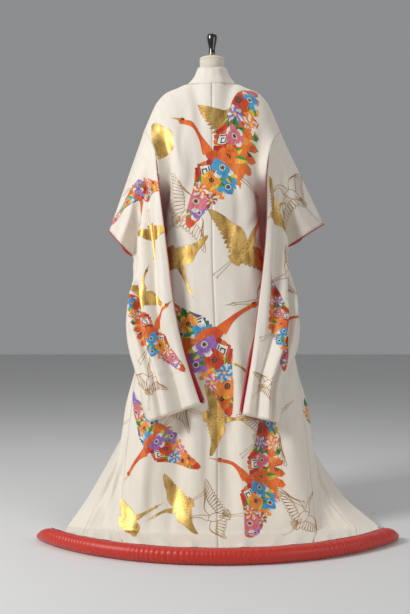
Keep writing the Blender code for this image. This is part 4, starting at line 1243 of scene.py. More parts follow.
def legs(size, bend, material=THREAD):
    """Two long thin legs that trail behind."""
    made = []
    for shift in (-0.018, 0.018):
        path = curve([(-0.10, shift), (-0.42, shift - 0.5 * bend), (-0.80, shift * 2.2 - bend)], 9)
        made.append(shape(ribbon(path * size, (0.016 * size, 0.009 * size, 0.007 * size)),
                          "brown", "amber", material=material))
        foot = path[-1] * size
        for turn in (2.7, 3.14, 3.6):
            toe = ribbon([foot, foot + heading(turn) * 0.055 * size], (0.006 * size, 0.003 * size))
            made.append(shape(toe, "brown", material=material))
    return made


# Dyes of the flowers that fill a wing or a patch: their dark, light and edge
FILL_DYES = (
    ("red", "orange", "amber"),
    ("vermilion", "amber", "yellow"),
    ("blue", "sky", "white"),
    ("wine", "vermilion", "orange"),
    ("purple", "lilac", "white"),
    ("rose", "pink", "white"),
)


def wing_fill(wing, size, start, member):
    """Leaves, flowers and a fret patch over a wing, cut off at the wing's outline."""
    arm, turns, lengths = wing_frame(wing, 7)
    made = []
    for index, out in ((2, 0.20), (5, 0.24)):
        place = arm[index] + heading(turns[index]) * lengths[index] * out
        made += turned(fret_patch(size * 0.135, turns[index] + 0.3, member), move=place)
    spots = [(1, 0.80), (3, 0.84), (5, 0.80), (6, 0.42), (4, 0.44), (2, 0.46), (0, 0.34)]
    for order, (index, out) in enumerate(spots):
        place = arm[index] + heading(turns[index]) * lengths[index] * out
        dyes = FILL_DYES[(start + order) % len(FILL_DYES)]
        radius = size * (0.172 - 0.015 * (order % 3))
        greens = ("deep_green", "green", "leaf") if order % 2 else ("green", "leaf", "yellow")
        spray = leaf_spray(radius * 1.7, greens, turns[index] + order, clip=member)
        if order % 3 == 1:
            flower = daisy(radius * 0.86, dyes[0], dyes[1], "yellow", 12, order, member)
        else:
            flower = peony(radius, *dyes, order * 1.1, member)
        made += turned(spray + flower, move=place)
    return made


# Wings of a bird whose length is 1, how a wing full of flowers differs, the dyes of
# feathers, and the widths of feathers, covers and drawn lines
RAISED = Wing((0.10, 0.04), (0.21, 0.28), (0.13, 0.50), 2.95, 1.72, 0.44, 0.52, 12)
LOWERED = Wing((0.08, -0.03), (0.18, -0.24), (0.06, -0.42), -2.95, -2.00, 0.40, 0.48, 11)
SWEPT = Wing((0.10, 0.04), (0.02, 0.24), (-0.14, 0.36), 3.10, 2.25, 0.36, 0.46, 11)
BROAD_LENGTH = 1.42
BROAD_FEATHERS = 8
BROAD_WIDTH = 0.165
ORANGES = (("vermilion", "orange"), ("red", "vermilion"), ("orange", "amber"))
BLUES = (("blue", "sky"), ("purple", "lilac"), ("green", "leaf"))
FOILS = (("amber", "yellow"),)
FOIL_WIDTH = 0.088
DRAWN_WIDTH = 0.080
COVER = 0.42
DYED_LINE = 0.0008
FOIL_LINE = 0.0009
DRAWN_LINE = 0.0019


def sized(wing, size):
    """A wing at a bird's size."""
    root, wrist, tip = (tuple(np.array(place) * size) for place in wing[:3])
    return wing._replace(root=root, wrist=wrist, tip=tip, first_length=wing.first_length * size,
                         last_length=wing.last_length * size)


def broad(wing):
    """The same wing with fewer, longer feathers, for a fill of flowers."""
    return wing._replace(first_length=wing.first_length * BROAD_LENGTH,
                         last_length=wing.last_length * BROAD_LENGTH, count=BROAD_FEATHERS)


def flower_crane(size, bend=0.05, far=RAISED, near=LOWERED, start=0, far_tones=ORANGES):
    """A crane with wings full of flowers."""
    made = legs(size, 0.10)
    far_wing, near_wing = broad(sized(far, size)), broad(sized(near, size))
    made += feather_fan(far_wing, BROAD_WIDTH * size, far_tones, DYE, 0.0, "far")
    made += wing_fill(far_wing, size, start, "far")
    made += crane_body(size, "vermilion", "orange", DYED_LINE)
    made += neck_and_head(size, bend, "vermilion", "orange", DYED_LINE)
    made += feather_fan(near_wing, BROAD_WIDTH * size, ORANGES, DYE, 0.0, "near")
    return made + wing_fill(near_wing, size, start + 2, "near")


def foil_crane(size, bend=0.04, far=RAISED, near=LOWERED):
    """A crane laid in gold foil."""
    made = legs(size, -0.06)
    for wing, member in ((sized(far, size), "far"), (sized(near, size), "near")):
        made += feather_fan(wing, FOIL_WIDTH * size, FOILS, FOIL, FOIL_LINE, member)
        made.append(shape(wing_cover(wing, COVER), "amber", "yellow", material=FOIL))
    made += crane_body(size, "amber", "yellow", FOIL_LINE, FOIL)
    made += neck_and_head(size, bend, "amber", "yellow", FOIL_LINE, FOIL)
    return made


def foil_wing(size, wing=RAISED):
    """A single foil wing that shows behind another bird."""
    made = feather_fan(sized(wing, size), FOIL_WIDTH * size, FOILS, FOIL, FOIL_LINE, "far")
    made.append(shape(wing_cover(sized(wing, size), 0.40), "amber", "yellow", material=FOIL))
    return made


def line_crane(size, bend=0.05, far=RAISED, near=LOWERED):
    """A crane drawn in gold thread alone."""
    made = []
    for item in flower_crane_outlines(size, bend, far, near):
        made.append(rim_line(item, DRAWN_LINE / 2))
        made.append(shape(grown(item, -DRAWN_LINE / 2), "amber", material=BARE))
    return made + legs(size, 0.08)


def flower_crane_outlines(size, bend, far, near):
    """Feather, body, neck and head outlines of a drawn crane, from back to front."""
    outlines = []
    for wing in (sized(far, size), sized(near, size)):
        arm, turns, lengths = wing_frame(wing, wing.count)
        outlines += [feather(arm[index], turns[index], lengths[index], DRAWN_WIDTH * size)
                     for index in range(wing.count - 1, -1, -1)]
        outlines.append(wing_cover(wing, COVER))
    bird = crane_body(size, "amber", "amber", 0.0)
    bird += neck_and_head(size, bend, "amber", "amber", 0.0)
    for item in bird:
        if item.material != THREAD and item.reach > 0.012 * size:
            outlines.append(item.outline)
    return outlines


def flower_patch(size, start=0, count=5):
    """A loose group of flowers and leaves."""
    made = []
    spots = ((0.0, 0.0, 1.0), (0.75, 0.35, 0.8), (-0.60, 0.60, 0.75), (-0.55, -0.62, 0.85),
             (0.45, -0.80, 0.7), (0.10, 1.15, 0.65))
    for order, (x, y, share) in list(enumerate(spots[:count]))[::-1]:
        dyes = FILL_DYES[(start + order) % len(FILL_DYES)]
        place = np.array([x, y]) * size
        greens = ("deep_green", "green", "leaf") if order % 2 else ("green", "leaf", "yellow")
        spray = leaf_spray(size * share * 0.95, greens, order * 2.2 + start)
        if order % 3 == 1:
            flower = daisy(size * share * 0.45, dyes[0], dyes[1], "yellow", 13, order)
        else:
            flower = peony(size * share * 0.52, *dyes, order)
        made += turned(spray + flower, move=place)
    return made


# Sides that turn by less than this join into one; the cloth's grid lines cut this far past
# a motif; the cloth's slant is measured over this reach, and evened out between these limits
FLAT_ANGLE = 0.003
GRID_MARGIN = 0.001
DRAWING_REACH = 0.045
SLANT_LIMITS = (0.55, 1.6)


class Canvas:
    """A stretch of cloth that motifs lie on, in metres across from its start and down."""

    def __init__(self, robe, names):
        self.names = names
        self.panels = {}
        for name in names:
            panel = robe.panels[name]
            steps = np.linalg.norm(np.diff(panel.points, axis=1), axis=2)
            start = np.zeros((len(panel.points), 1))
            run = np.concatenate([start, np.cumsum(steps, axis=1)], axis=1)
            side = -1.0 if name.endswith("left") else 1.0
            flipped = (side < 0) != name.startswith("sleeve_front")
            normals = grid_normals(panel.points) * (-1.0 if flipped else 1.0)
            self.panels[side] = (panel, run, normals, np.abs(panel.across))

    def side_of(self, across):
        """The panel on one side of the middle, or the only one."""
        if len(self.panels) == 1:
            return next(iter(self.panels))
        return -1.0 if across < 0 else 1.0

    def on_cloth(self, places):
        """Places in metres across and down, as places on the flat cloth."""
        made = np.empty_like(places)
        for index, (across, down) in enumerate(places):
            side = self.side_of(across)
            panel, run, normals, marks = self.panels[side]
            row = int(np.searchsorted(panel.down, down)) - 1
            row = min(max(row, 0), len(panel.down) - 2)
            share = (down - panel.down[row]) / (panel.down[row + 1] - panel.down[row])
            share = min(max(share, 0.0), 1.0)
            reach = run[row] * (1 - share) + run[row + 1] * share
            away = across * side
            scale = (marks[-1] - marks[0]) / reach[-1]
            if 0 <= away <= reach[-1]:
                place = np.interp(away, reach, marks)
            elif away < 0:
                place = marks[0] + away * scale
            else:
                place = marks[-1] + (away - reach[-1]) * scale
            made[index] = (side * place, down)
        return made

    def drawing(self, move):
        """How a drawing's own axes turn into across and down, where the cloth is slanted."""
        steps = np.array([(-1, 0), (1, 0), (0, -1), (0, 1)]) * DRAWING_REACH
        spots = self.on_cloth(steps + move)
        left, right, above, below = self.in_space(self.side_of(move[0]), spots)[0]
        ahead = (right - left) / np.linalg.norm(right - left)
        down = (below - above) / (2 * DRAWING_REACH)
        slant = down @ ahead
        length = 1 / np.clip(np.linalg.norm(down - ahead * slant), *SLANT_LIMITS)
        return np.array([(1, 0), (-slant * length, length)])

    def grid_lines(self, low, high):
        """The cloth's own grid lines between two corners of a motif."""
        lines = []
        for side, (panel, run, normals, marks) in self.panels.items():
            lines += [(0, side * mark) for mark in marks if low[0] < side * mark < high[0]]
        first = next(iter(self.panels.values()))[0]
        lines += [(1, mark) for mark in first.down if low[1] < mark < high[1]]
        return sorted(set(lines))

    def in_space(self, side, places):
        """Points and outward directions of flat places on one panel."""
        panel, run, normals, marks = self.panels[side]
        across, down = places[:, 0] * side, places[:, 1]
        column = np.clip(np.searchsorted(marks, across) - 1, 0, len(marks) - 2)
        row = np.clip(np.searchsorted(panel.down, down) - 1, 0, len(panel.down) - 2)
        u = ((across - marks[column]) / (marks[column + 1] - marks[column]))[:, None]
        v = ((down - panel.down[row]) / (panel.down[row + 1] - panel.down[row]))[:, None]
        corners = ((row, column, (1 - u) * (1 - v)), (row, column + 1, u * (1 - v)),
                   (row + 1, column, (1 - u) * v), (row + 1, column + 1, u * v))
        points = sum(panel.points[i, j] * share for i, j, share in corners)
        out = sum(normals[i, j] * share for i, j, share in corners)
        return points, out / np.linalg.norm(out, axis=1, keepdims=True)


def inside_outline(spots, outline):
    """Which spots lie within an outline."""
    inside = np.zeros(len(spots), dtype=bool)
    for start, end in zip(outline, np.roll(outline, -1, axis=0)):
        rise = end[1] - start[1]
        if rise == 0:
            continue
        crossing = (start[1] > spots[:, 1]) != (end[1] > spots[:, 1])
        beside = spots[:, 0] < start[0] + (end[0] - start[0]) * (spots[:, 1] - start[1]) / rise
        inside ^= crossing & beside
    return inside


def topmost(shapes, outlines, spots):
    """The number of the shape that shows at each spot, or -1 for bare cloth."""
    tops = np.full(len(spots), -1)
    members = {}
    for number, (item, outline) in enumerate(zip(shapes, outlines)):
        low, high = outline.min(axis=0), outline.max(axis=0)
        near = np.flatnonzero(np.all((spots > low) & (spots < high), axis=1))
        near = near[inside_outline(spots[near], outline)]
        if item.clip:
            near = near[members[item.clip][near]]
        if item.member:
            members.setdefault(item.member, np.zeros(len(spots), dtype=bool))[near] = True
        tops[near] = -1 if item.material == BARE else number
    return tops


def triangles_between(places, edges):
    """All triangles between places, none across an edge, with the middle of each."""
    found = delaunay_2d_cdt([Vector(place) for place in places], edges, [], 0, TINY, False)
    corners, cells = np.array(found[0]), np.array(found[2])
    return corners, cells, corners[cells].mean(axis=1)


def visible_edges(corners, cells, tops):
    """Ends of the edges between cells that show different shapes, in straight stretches."""
    work = bmesh.new()
    used = np.unique(cells)
    verts = {corner: work.verts.new((*corners[corner], 0)) for corner in used}
    for cell, top in zip(cells, tops):
        face = work.faces.new([verts[corner] for corner in cell])
        face.material_index = top
    bmesh.ops.dissolve_limit(work, angle_limit=FLAT_ANGLE, verts=work.verts, edges=work.edges,
                             delimit={"MATERIAL"})
    work.verts.index_update()
    places = [tuple(vert.co[:2]) for vert in work.verts]
    edges = [tuple(vert.index for vert in edge.verts) for edge in work.edges]
    work.free()
    return places, edges


def cut_motif(canvas, shapes, outlines):
    """Triangles of a motif on the flat cloth, cut along outlines and grid lines."""
    places = np.concatenate(outlines).tolist()
    edges = []
    first = 0
    for outline in outlines:
        numbers = list(range(first, first + len(outline)))
        edges += list(zip(numbers, numbers[1:] + numbers[:1]))
        first += len(outline)
    corners, cells, middles = triangles_between(places, edges)
    tops = topmost(shapes, outlines, middles)
    places, edges = visible_edges(corners, cells[tops >= 0], tops[tops >= 0])
    low = np.min(places, axis=0) - GRID_MARGIN
    high = np.max(places, axis=0) + GRID_MARGIN
    for axis, mark in canvas.grid_lines(low, high):
        edges.append((len(places), len(places) + 1))
        if axis == 0:
            places += ((mark, low[1]), (mark, high[1]))
        else:
            places += ((low[0], mark), (high[0], mark))
    corners, cells, middles = triangles_between(places, edges)
    tops = topmost(shapes, outlines, middles)
    return corners, cells[tops >= 0], tops[tops >= 0]


class Ornament:
    """Patches of motifs on cloth, gathered into one mesh."""

    def __init__(self):
        self.count = 0
        self.points, self.normals, self.faces, self.slots = [], [], [], []
        self.places, self.dyes = [], []

    def add(self, canvas, shapes, move, layer=0):
        """Lay a motif on a canvas with its middle at a place, up the cloth."""
        turn = np.diag((1.0, -1.0)) @ canvas.drawing(np.asarray(move))
        outlines = [canvas.on_cloth(item.outline @ turn + move) for item in shapes]
        places, faces, tops = cut_motif(canvas, shapes, outlines)
        origins = canvas.on_cloth(np.array([item.origin for item in shapes]) @ turn + move)
        middles = places[faces].mean(axis=1)
        for side, (panel, run, normals, marks) in canvas.panels.items():
            across = middles[:, 0] * side
            chosen = (across > marks[0]) & (across < marks[-1])
            chosen &= (middles[:, 1] > panel.down[0]) & (middles[:, 1] < panel.down[-1])
            if chosen.any():
                self.add_side(canvas, side, places, faces[chosen], tops[chosen], shapes, origins,
                              LIFT + LIFT_STEP * layer)

    def add_side(self, canvas, side, places, faces, tops, shapes, origins, lift):
        """Close the chosen flat faces into a thin patch on one panel, sewn down at its edge."""
        used, faces = np.unique(faces, return_inverse=True)
        faces = faces.reshape(-1, 3)
        spots = places[used]
        points, out = canvas.in_space(side, spots)
        if not canvas.names[0].startswith("sleeve_front"):
            faces = faces[:, ::-1]
        size = len(used)
        start, end, border = border_sides(faces, size)
        rim = np.unique(start)
        follow = np.zeros(size, dtype=int)
        follow[rim] = np.arange(len(rim)) + size
        skirt = np.stack([end, start, follow[start], follow[end]], axis=1)
        skirt_tops = np.repeat(tops, 3)[border]
        spots = np.concatenate([spots, spots[rim]])
        self.put(faces, tops, spots, shapes, origins)
        self.put(skirt, skirt_tops, spots, shapes, origins)
        sewn = points[rim] - out[rim] * PATCH_DEPTH
        self.points.append(np.concatenate([points + out * lift, sewn]))
        self.normals.append(np.concatenate([out, out[rim]]))
        self.count += len(spots)

    def put(self, faces, tops, spots, shapes, origins):
        """Keep faces with their material, flat places and dyes."""
        corners = spots[faces]
        reaches = np.array([item.reach for item in shapes])[tops]
        inner = np.array([DYES[item.inner] for item in shapes])[tops]
        outer = np.array([DYES[item.outer] for item in shapes])[tops]
        away = np.linalg.norm(corners - origins[tops][:, None, :], axis=2) / reaches[:, None]
        share = np.clip(away, 0, 1)[:, :, None]
        tint = inner[:, None, :] * (1 - share) + outer[:, None, :] * share
        self.faces.extend((faces + self.count).tolist())
        self.slots.extend(np.array([item.material for item in shapes])[tops].tolist())
        self.places.append(corners.reshape(-1, 2))
        self.dyes.append(tint.reshape(-1, 3))

    def make(self, name):
        """Make the gathered patches into one object that rides the part."""
        data = bpy.data.meshes.new(name)
        data.from_pydata(np.concatenate(self.points).tolist(), [], self.faces)
        for key in ("dyed_silk", "foil", "thread"):
            data.materials.append(MATERIALS[key])
        data.polygons.foreach_set("material_index", self.slots)
        layer = data.uv_layers.new(name="FlatCloth")
        layer.data.foreach_set("uv", np.concatenate(self.places).reshape(-1))
        dye = data.color_attributes.new(name="Dye", type="FLOAT_COLOR", domain="CORNER")
        tints = np.concatenate(self.dyes)
        tints = np.concatenate([tints, np.ones((len(tints), 1))], axis=1)
        dye.data.foreach_set("color", tints.reshape(-1))
        data.shade_smooth()
        data.normals_split_custom_set_from_vertices(np.concatenate(self.normals).tolist())
        riding_piece(name, data)


# Where each motif lies: its canvas, its middle across and down, its kind, its size, how far
# it is turned, whether it is mirrored, and its layer over the others
Motif = namedtuple("Motif", "canvas across down kind size turn mirrored layer")
CANVASES = {
    "back": ("back_left", "back_right"),
    "front left": ("front_left",),
    "front right": ("front_right",),
    "sleeve left": ("sleeve_back_left",),
    "sleeve right": ("sleeve_back_right",),
    "sleeve front left": ("sleeve_front_left",),
    "sleeve front right": ("sleeve_front_right",),
}

# How each kind of motif is drawn at a size
KINDS = {
    "bloom crane": flower_crane,
    "blue bloom crane": lambda size: flower_crane(size, 0.02, SWEPT, LOWERED, 2, BLUES),
    "foil crane": foil_crane,
    "gliding foil crane": lambda size: foil_crane(size, 0.0, SWEPT, LOWERED),
    "foil wing": foil_wing,
    "drawn crane": line_crane,
    "gliding drawn crane": lambda size: line_crane(size, 0.0, SWEPT, LOWERED),
    "flowers": flower_patch,
    "blue flowers": lambda size: flower_patch(size, 3, 6),
    "small flowers": lambda size: flower_patch(size, 1, 3),
}
UPPER_BACK = (
    Motif("back", 0.120, 0.200, "foil wing", 0.250, 1.10, False, 0),
    Motif("back", -0.150, 0.260, "foil wing", 0.190, 0.55, False, 0),
    Motif("back", -0.080, 0.490, "drawn crane", 0.170, 0.50, False, 0),
    Motif("back", 0.020, 0.290, "bloom crane", 0.260, -0.60, True, 2),
    Motif("back", 0.120, 0.610, "foil crane", 0.185, 0.80, False, 1),
    Motif("back", -0.125, 0.665, "gliding foil crane", 0.160, 2.20, True, 1),
    Motif("back", 0.170, 0.800, "gliding drawn crane", 0.150, 0.30, True, 0),
    Motif("back", -0.020, 0.925, "blue bloom crane", 0.270, 0.45, False, 2),
)
LOWER_BACK = (
    Motif("back", 0.010, 1.210, "gliding foil crane", 0.150, -0.20, False, 1),
    Motif("back", 0.140, 1.085, "foil crane", 0.125, -0.60, True, 1),
    Motif("back", -0.170, 1.150, "drawn crane", 0.160, 0.80, False, 0),
    Motif("back", 0.200, 1.250, "gliding drawn crane", 0.160, 0.60, False, 0),
    Motif("back", 0.140, 1.420, "bloom crane", 0.210, -0.35, True, 2),
    Motif("back", -0.250, 1.300, "blue bloom crane", 0.190, 1.05, True, 2),
    Motif("back", -0.130, 1.510, "foil crane", 0.130, 0.50, True, 1),
    Motif("back", -0.290, 1.550, "gliding foil crane", 0.125, 0.30, False, 1),
    Motif("back", -0.010, 1.540, "drawn crane", 0.130, 0.20, True, 0),
    Motif("back", 0.290, 1.540, "drawn crane", 0.130, 0.70, False, 0),
)
SLEEVES_BEHIND = (
    Motif("sleeve left", -0.190, 0.150, "blue bloom crane", 0.120, 0.90, True, 1),
    Motif("sleeve left", -0.080, 0.340, "gliding foil crane", 0.120, 1.20, True, 1),
    Motif("sleeve left", -0.130, 0.530, "foil crane", 0.125, 1.00, False, 1),
    Motif("sleeve left", -0.110, 0.680, "bloom crane", 0.170, 0.55, False, 2),
    Motif("sleeve left", -0.190, 0.850, "drawn crane", 0.110, 1.20, False, 0),
    Motif("sleeve right", 0.210, 0.120, "drawn crane", 0.140, 0.90, True, 0),
    Motif("sleeve right", 0.090, 0.260, "foil crane", 0.120, 1.30, False, 1),
    Motif("sleeve right", 0.130, 0.450, "gliding drawn crane", 0.120, 0.80, True, 0),
    Motif("sleeve right", 0.130, 0.650, "bloom crane", 0.150, 0.30, False, 2),
    Motif("sleeve right", 0.090, 0.860, "gliding drawn crane", 0.100, 0.60, False, 0),
)
SLEEVES_BEFORE = (
    Motif("sleeve front left", -0.150, 0.180, "foil crane", 0.120, 0.70, False, 1),
    Motif("sleeve front left", -0.120, 0.430, "drawn crane", 0.120, 0.90, True, 0),
    Motif("sleeve front left", -0.120, 0.660, "flowers", 0.070, 0.40, False, 2),
    Motif("sleeve front right", 0.150, 0.170, "blue flowers", 0.070, 0.20, False, 1),
    Motif("sleeve front right", 0.120, 0.400, "gliding foil crane", 0.120, 0.90, True, 1),
    Motif("sleeve front right", 0.110, 0.640, "flowers", 0.065, 0.50, False, 2),
)
FRONTS = (
    Motif("front left", -0.110, 0.330, "gliding foil crane", 0.120, 1.10, False, 1),
    Motif("front left", -0.120, 0.640, "drawn crane", 0.130, 0.80, True, 0),
    Motif("front left", -0.130, 0.960, "bloom crane", 0.160, 0.30, False, 2),
    Motif("front left", -0.140, 1.280, "foil crane", 0.130, 0.50, True, 1),
    Motif("front right", 0.110, 0.300, "drawn crane", 0.120, 0.80, False, 0),
    Motif("front right", 0.120, 0.620, "foil crane", 0.130, 1.00, False, 1),
    Motif("front right", 0.130, 0.950, "blue flowers", 0.085, 0.40, False, 2),
    Motif("front right", 0.140, 1.250, "flowers", 0.080, -0.30, True, 2),
)
GROUPS = {
    "ornament_upper_back": UPPER_BACK,
    "ornament_lower_back": LOWER_BACK,
    "ornament_sleeves_behind": SLEEVES_BEHIND,
    "ornament_sleeves_before": SLEEVES_BEFORE,
    "ornament_fronts": FRONTS,
}


def lay_motifs(name, motifs):
    """Make one group of motifs as one piece."""
    ornament = Ornament()
    for item in motifs:
        canvas = Canvas(ROBE["fine"], CANVASES[item.canvas])
        shapes = turned(KINDS[item.kind](item.size), item.turn, flip=item.mirrored)
        ornament.add(canvas, shapes, (item.across, item.down), item.layer)
    ornament.make(name)


class ROBE_OT_ornament(bpy.types.Operator):
    """Lay the dyed and gilded cranes and flowers on the silk"""

    bl_idname = "robe.ornament"
    bl_label = "Ornament"

    def execute(self, context):
        for name, motifs in GROUPS.items():
            lay_motifs(name, motifs)
        return {"FINISHED"}


# Waves of the silk's weave to a metre, across and down
WEAVE = (900.0, 420.0, 1.0)


def dyed_material(name):
    """Hand-dyed silk: each patch's own dye, slightly uneven."""
    material, nodes, links, shader = new_material(name, 0.55)
    dye = nodes.new("ShaderNodeVertexColor")
    dye.layer_name = "Dye"
    flat = flat_places(nodes)
    brush = stretched_noise(nodes, links, flat, (130.0, 55.0, 1.0), 4.0, 0.65)
    weave = stretched_noise(nodes, links, flat, WEAVE, 2.0)
    depth = colour_node(nodes, links, brush, (0.62, 0.62, 0.62), (1.16, 1.16, 1.16), 0.28, 0.70)
    mix = nodes.new("ShaderNodeMix")
    mix.data_type = "RGBA"
    mix.blend_type = "MULTIPLY"
    mix.inputs["Factor"].default_value = 1.0
    links.new(dye.outputs["Color"], mix.inputs["A"])
    links.new(depth, mix.inputs["B"])
    links.new(mix.outputs["Result"], shader.inputs["Base Color"])
    add_bump(nodes, links, shader, mixed_height(nodes, links, weave, brush, 0.4), 0.35, 0.0006)
    shader.inputs["Sheen Weight"].default_value = 0.12
    return material


def gold_material(name, bright, dark, roughness, metallic, streak):
    """Gold laid on silk, with bright and brown streaks along its threads; the brown lies where the
    bump is low, as painted shade in the creases, over the gold's own uneven tone.
    """
    material, nodes, links, shader = new_material(name, roughness, metallic)
    flat = flat_places(nodes)
    streaks = stretched_noise(nodes, links, flat, (streak, streak * 0.12, 1.0), 4.0, 0.7)
    cloud = stretched_noise(nodes, links, flat, (26.0, 13.0, 1.0), 3.0)
    height = mixed_height(nodes, links, streaks, cloud, 0.55)
    # Painted shade: the colour goes from bright gold to brown where the bump's height is low
    tint = colour_node(nodes, links, height, dark, bright, 0.36, 0.58)
    links.new(tint, shader.inputs["Base Color"])
    add_bump(nodes, links, shader, height, 0.5, 0.0012)
    return material


def colour_node(nodes, links, source, low, high, fac_low=0.0, fac_high=1.0):
    """A colour ramp between two colours, driven by a value."""
    ramp = nodes.new("ShaderNodeValToRGB")
    ramp.color_ramp.elements[0].position = fac_low
    ramp.color_ramp.elements[1].position = fac_high
    ramp.color_ramp.elements[0].color = (*low, 1)
    ramp.color_ramp.elements[1].color = (*high, 1)
    links.new(source, ramp.inputs["Fac"])
    return ramp.outputs["Color"]


def new_material(name, roughness, metallic=0.0):
    """A material with its Principled shader, nodes and links."""
    material = bpy.data.materials.new(name)
    material.use_nodes = True
    nodes, links = material.node_tree.nodes, material.node_tree.links
    shader = nodes["Principled BSDF"]
    shader.inputs["Roughness"].default_value = roughness
    shader.inputs["Metallic"].default_value = metallic
    return material, nodes, links, shader


def noise(nodes, links, vector, scale, detail=3.0, roughness=0.5):
    """A noise texture on a vector."""
    texture = nodes.new("ShaderNodeTexNoise")
    texture.inputs["Scale"].default_value = scale
    texture.inputs["Detail"].default_value = detail
    texture.inputs["Roughness"].default_value = roughness
    links.new(vector, texture.inputs["Vector"])
    return texture.outputs["Fac"]


def flat_places(nodes):
    """Each point's place on the flat cloth, in metres."""
    places = nodes.new("ShaderNodeUVMap")
    places.uv_map = "FlatCloth"
    return places.outputs["UV"]


def stretched_noise(nodes, links, vector, scale, detail, roughness=0.5):
    """A noise texture scaled differently along its axes."""
    mapping = nodes.new("ShaderNodeMapping")
    mapping.inputs["Scale"].default_value = scale
    links.new(vector, mapping.inputs["Vector"])
    return noise(nodes, links, mapping.outputs["Vector"], 1.0, detail, roughness)


def add_bump(nodes, links, shader, height, strength, distance):
    """A bump from a height value."""
    bump = nodes.new("ShaderNodeBump")
    bump.inputs["Strength"].default_value = strength
    bump.inputs["Distance"].default_value = distance
    links.new(height, bump.inputs["Height"])
    links.new(bump.outputs["Normal"], shader.inputs["Normal"])


def mixed_height(nodes, links, first, second, share):
    """Two height values mixed."""
    mix = nodes.new("ShaderNodeMix")
    mix.data_type = "FLOAT"
    mix.inputs["Factor"].default_value = share
    links.new(first, mix.inputs["A"])
    links.new(second, mix.inputs["B"])
    return mix.outputs["Result"]


def silk_material(name, colour, shade, roughness, sheen, crepe=0.35):
    """Woven silk: fine crepe bump and slight variation of colour, on flat cloth places."""
    material, nodes, links, shader = new_material(name, roughness)
    flat = flat_places(nodes)
    weave = stretched_noise(nodes, links, flat, WEAVE, 2.0)
    slubs = stretched_noise(nodes, links, flat, (60.0, 14.0, 1.0), 4.0, 0.6)
    tint = colour_node(nodes, links, slubs, shade, colour, 0.25, 0.70)
    links.new(tint, shader.inputs["Base Color"])
    add_bump(nodes, links, shader, mixed_height(nodes, links, weave, slubs, 0.3), crepe, 0.0006)
    shader.inputs["Sheen Weight"].default_value = sheen
    shader.inputs["Sheen Roughness"].default_value = 0.35
    return material


def jersey_material(name, colour, shade):
    """Matt knitted cover of the form."""
    material, nodes, links, shader = new_material(name, 0.9)
    place = nodes.new("ShaderNodeTexCoord").outputs["Object"]
    knit = stretched_noise(nodes, links, place, (700.0, 700.0, 380.0), 2.0)
    cloudy = noise(nodes, links, place, 9.0, 3.0)
    tint = colour_node(nodes, links, cloudy, shade, colour, 0.3, 0.7)
    links.new(tint, shader.inputs["Base Color"])
    add_bump(nodes, links, shader, knit, 0.35, 0.0008)
    shader.inputs["Sheen Weight"].default_value = 0.25
    return material


def hard_material(name, colour, shade, roughness, metallic, coat=0.0, relief=0.08):
    """Turned metal, lacquer or painted steel with slight unevenness."""
    material, nodes, links, shader = new_material(name, roughness, metallic)
    place = nodes.new("ShaderNodeTexCoord").outputs["Object"]
    patches = noise(nodes, links, place, 60.0, 4.0, 0.6)
    tint = colour_node(nodes, links, patches, shade, colour, 0.3, 0.65)
    links.new(tint, shader.inputs["Base Color"])
    add_bump(nodes, links, shader, patches, relief, 0.0004)
    shader.inputs["Coat Weight"].default_value = coat
    shader.inputs["Coat Roughness"].default_value = 0.06
    return material


def hem_satin_material(name, colour, shade):
    """Bright satin of the padded hem, gathered along its length, with painted shade: darker where
    the gathers' bump is low.
    """
    material, nodes, links, shader = new_material(name, 0.42)
    flat = flat_places(nodes)
    gathers = stretched_noise(nodes, links, flat, (170.0, 9.0, 1.0), 3.0, 0.6)
    threads = stretched_noise(nodes, links, flat, (1100.0, 260.0, 1.0), 2.0)
    # Painted shade: the satin darkens to its shade colour in the hollows of the gathers' bump
    tint = colour_node(nodes, links, gathers, shade, colour, 0.30, 0.62)
    links.new(tint, shader.inputs["Base Color"])
    add_bump(nodes, links, shader, mixed_height(nodes, links, gathers, threads, 0.35), 0.55, 0.0016)
    shader.inputs["Sheen Weight"].default_value = 0.15
    return material


def colour_property(name, description, default):
    """A colour that a user may change."""
    return bpy.props.FloatVectorProperty(name=name, description=description, default=default,
                                         subtype="COLOR", size=3, min=0.0, max=1.0)


class RobeColours(bpy.types.PropertyGroup):
    """Colours that a user would change."""

    ivory: colour_property(
        "Silk", "Ivory crepe silk of the robe", (0.805, 0.742, 0.650))
    ivory_shade: colour_property(
        "Silk shade", "Slightly darker threads of the silk", (0.755, 0.685, 0.585))
    lining: colour_property(
        "Lining", "Red silk lining", (0.460, 0.014, 0.012))
    hem: colour_property(
        "Hem", "Bright red satin of the padded hem", (0.600, 0.024, 0.009))
    jersey: colour_property(
        "Form", "Cream jersey of the dress form", (0.700, 0.640, 0.530))
    floor: colour_property(
        "Floor", "Pale floor and backdrop", (0.720, 0.720, 0.710))


class HemSizes(bpy.types.PropertyGroup):
    """Sizes of the padded hem's gathers."""

    gather_spacing: bpy.props.FloatProperty(
        name="Gather spacing", description="Mean distance between two gathers of the hem",
        default=0.0155, min=0.006, max=0.05, unit="LENGTH")
    gather_depth: bpy.props.FloatProperty(
        name="Gather depth", description="How deep a gather cuts into the hem",
        default=0.0032, min=0.0, max=0.006, unit="LENGTH")


# Materials by name, as the materials operator makes them
MATERIALS = {}


def shade_of(colour, share):
    """A darker version of a colour."""
    return tuple(channel * share for channel in colour)


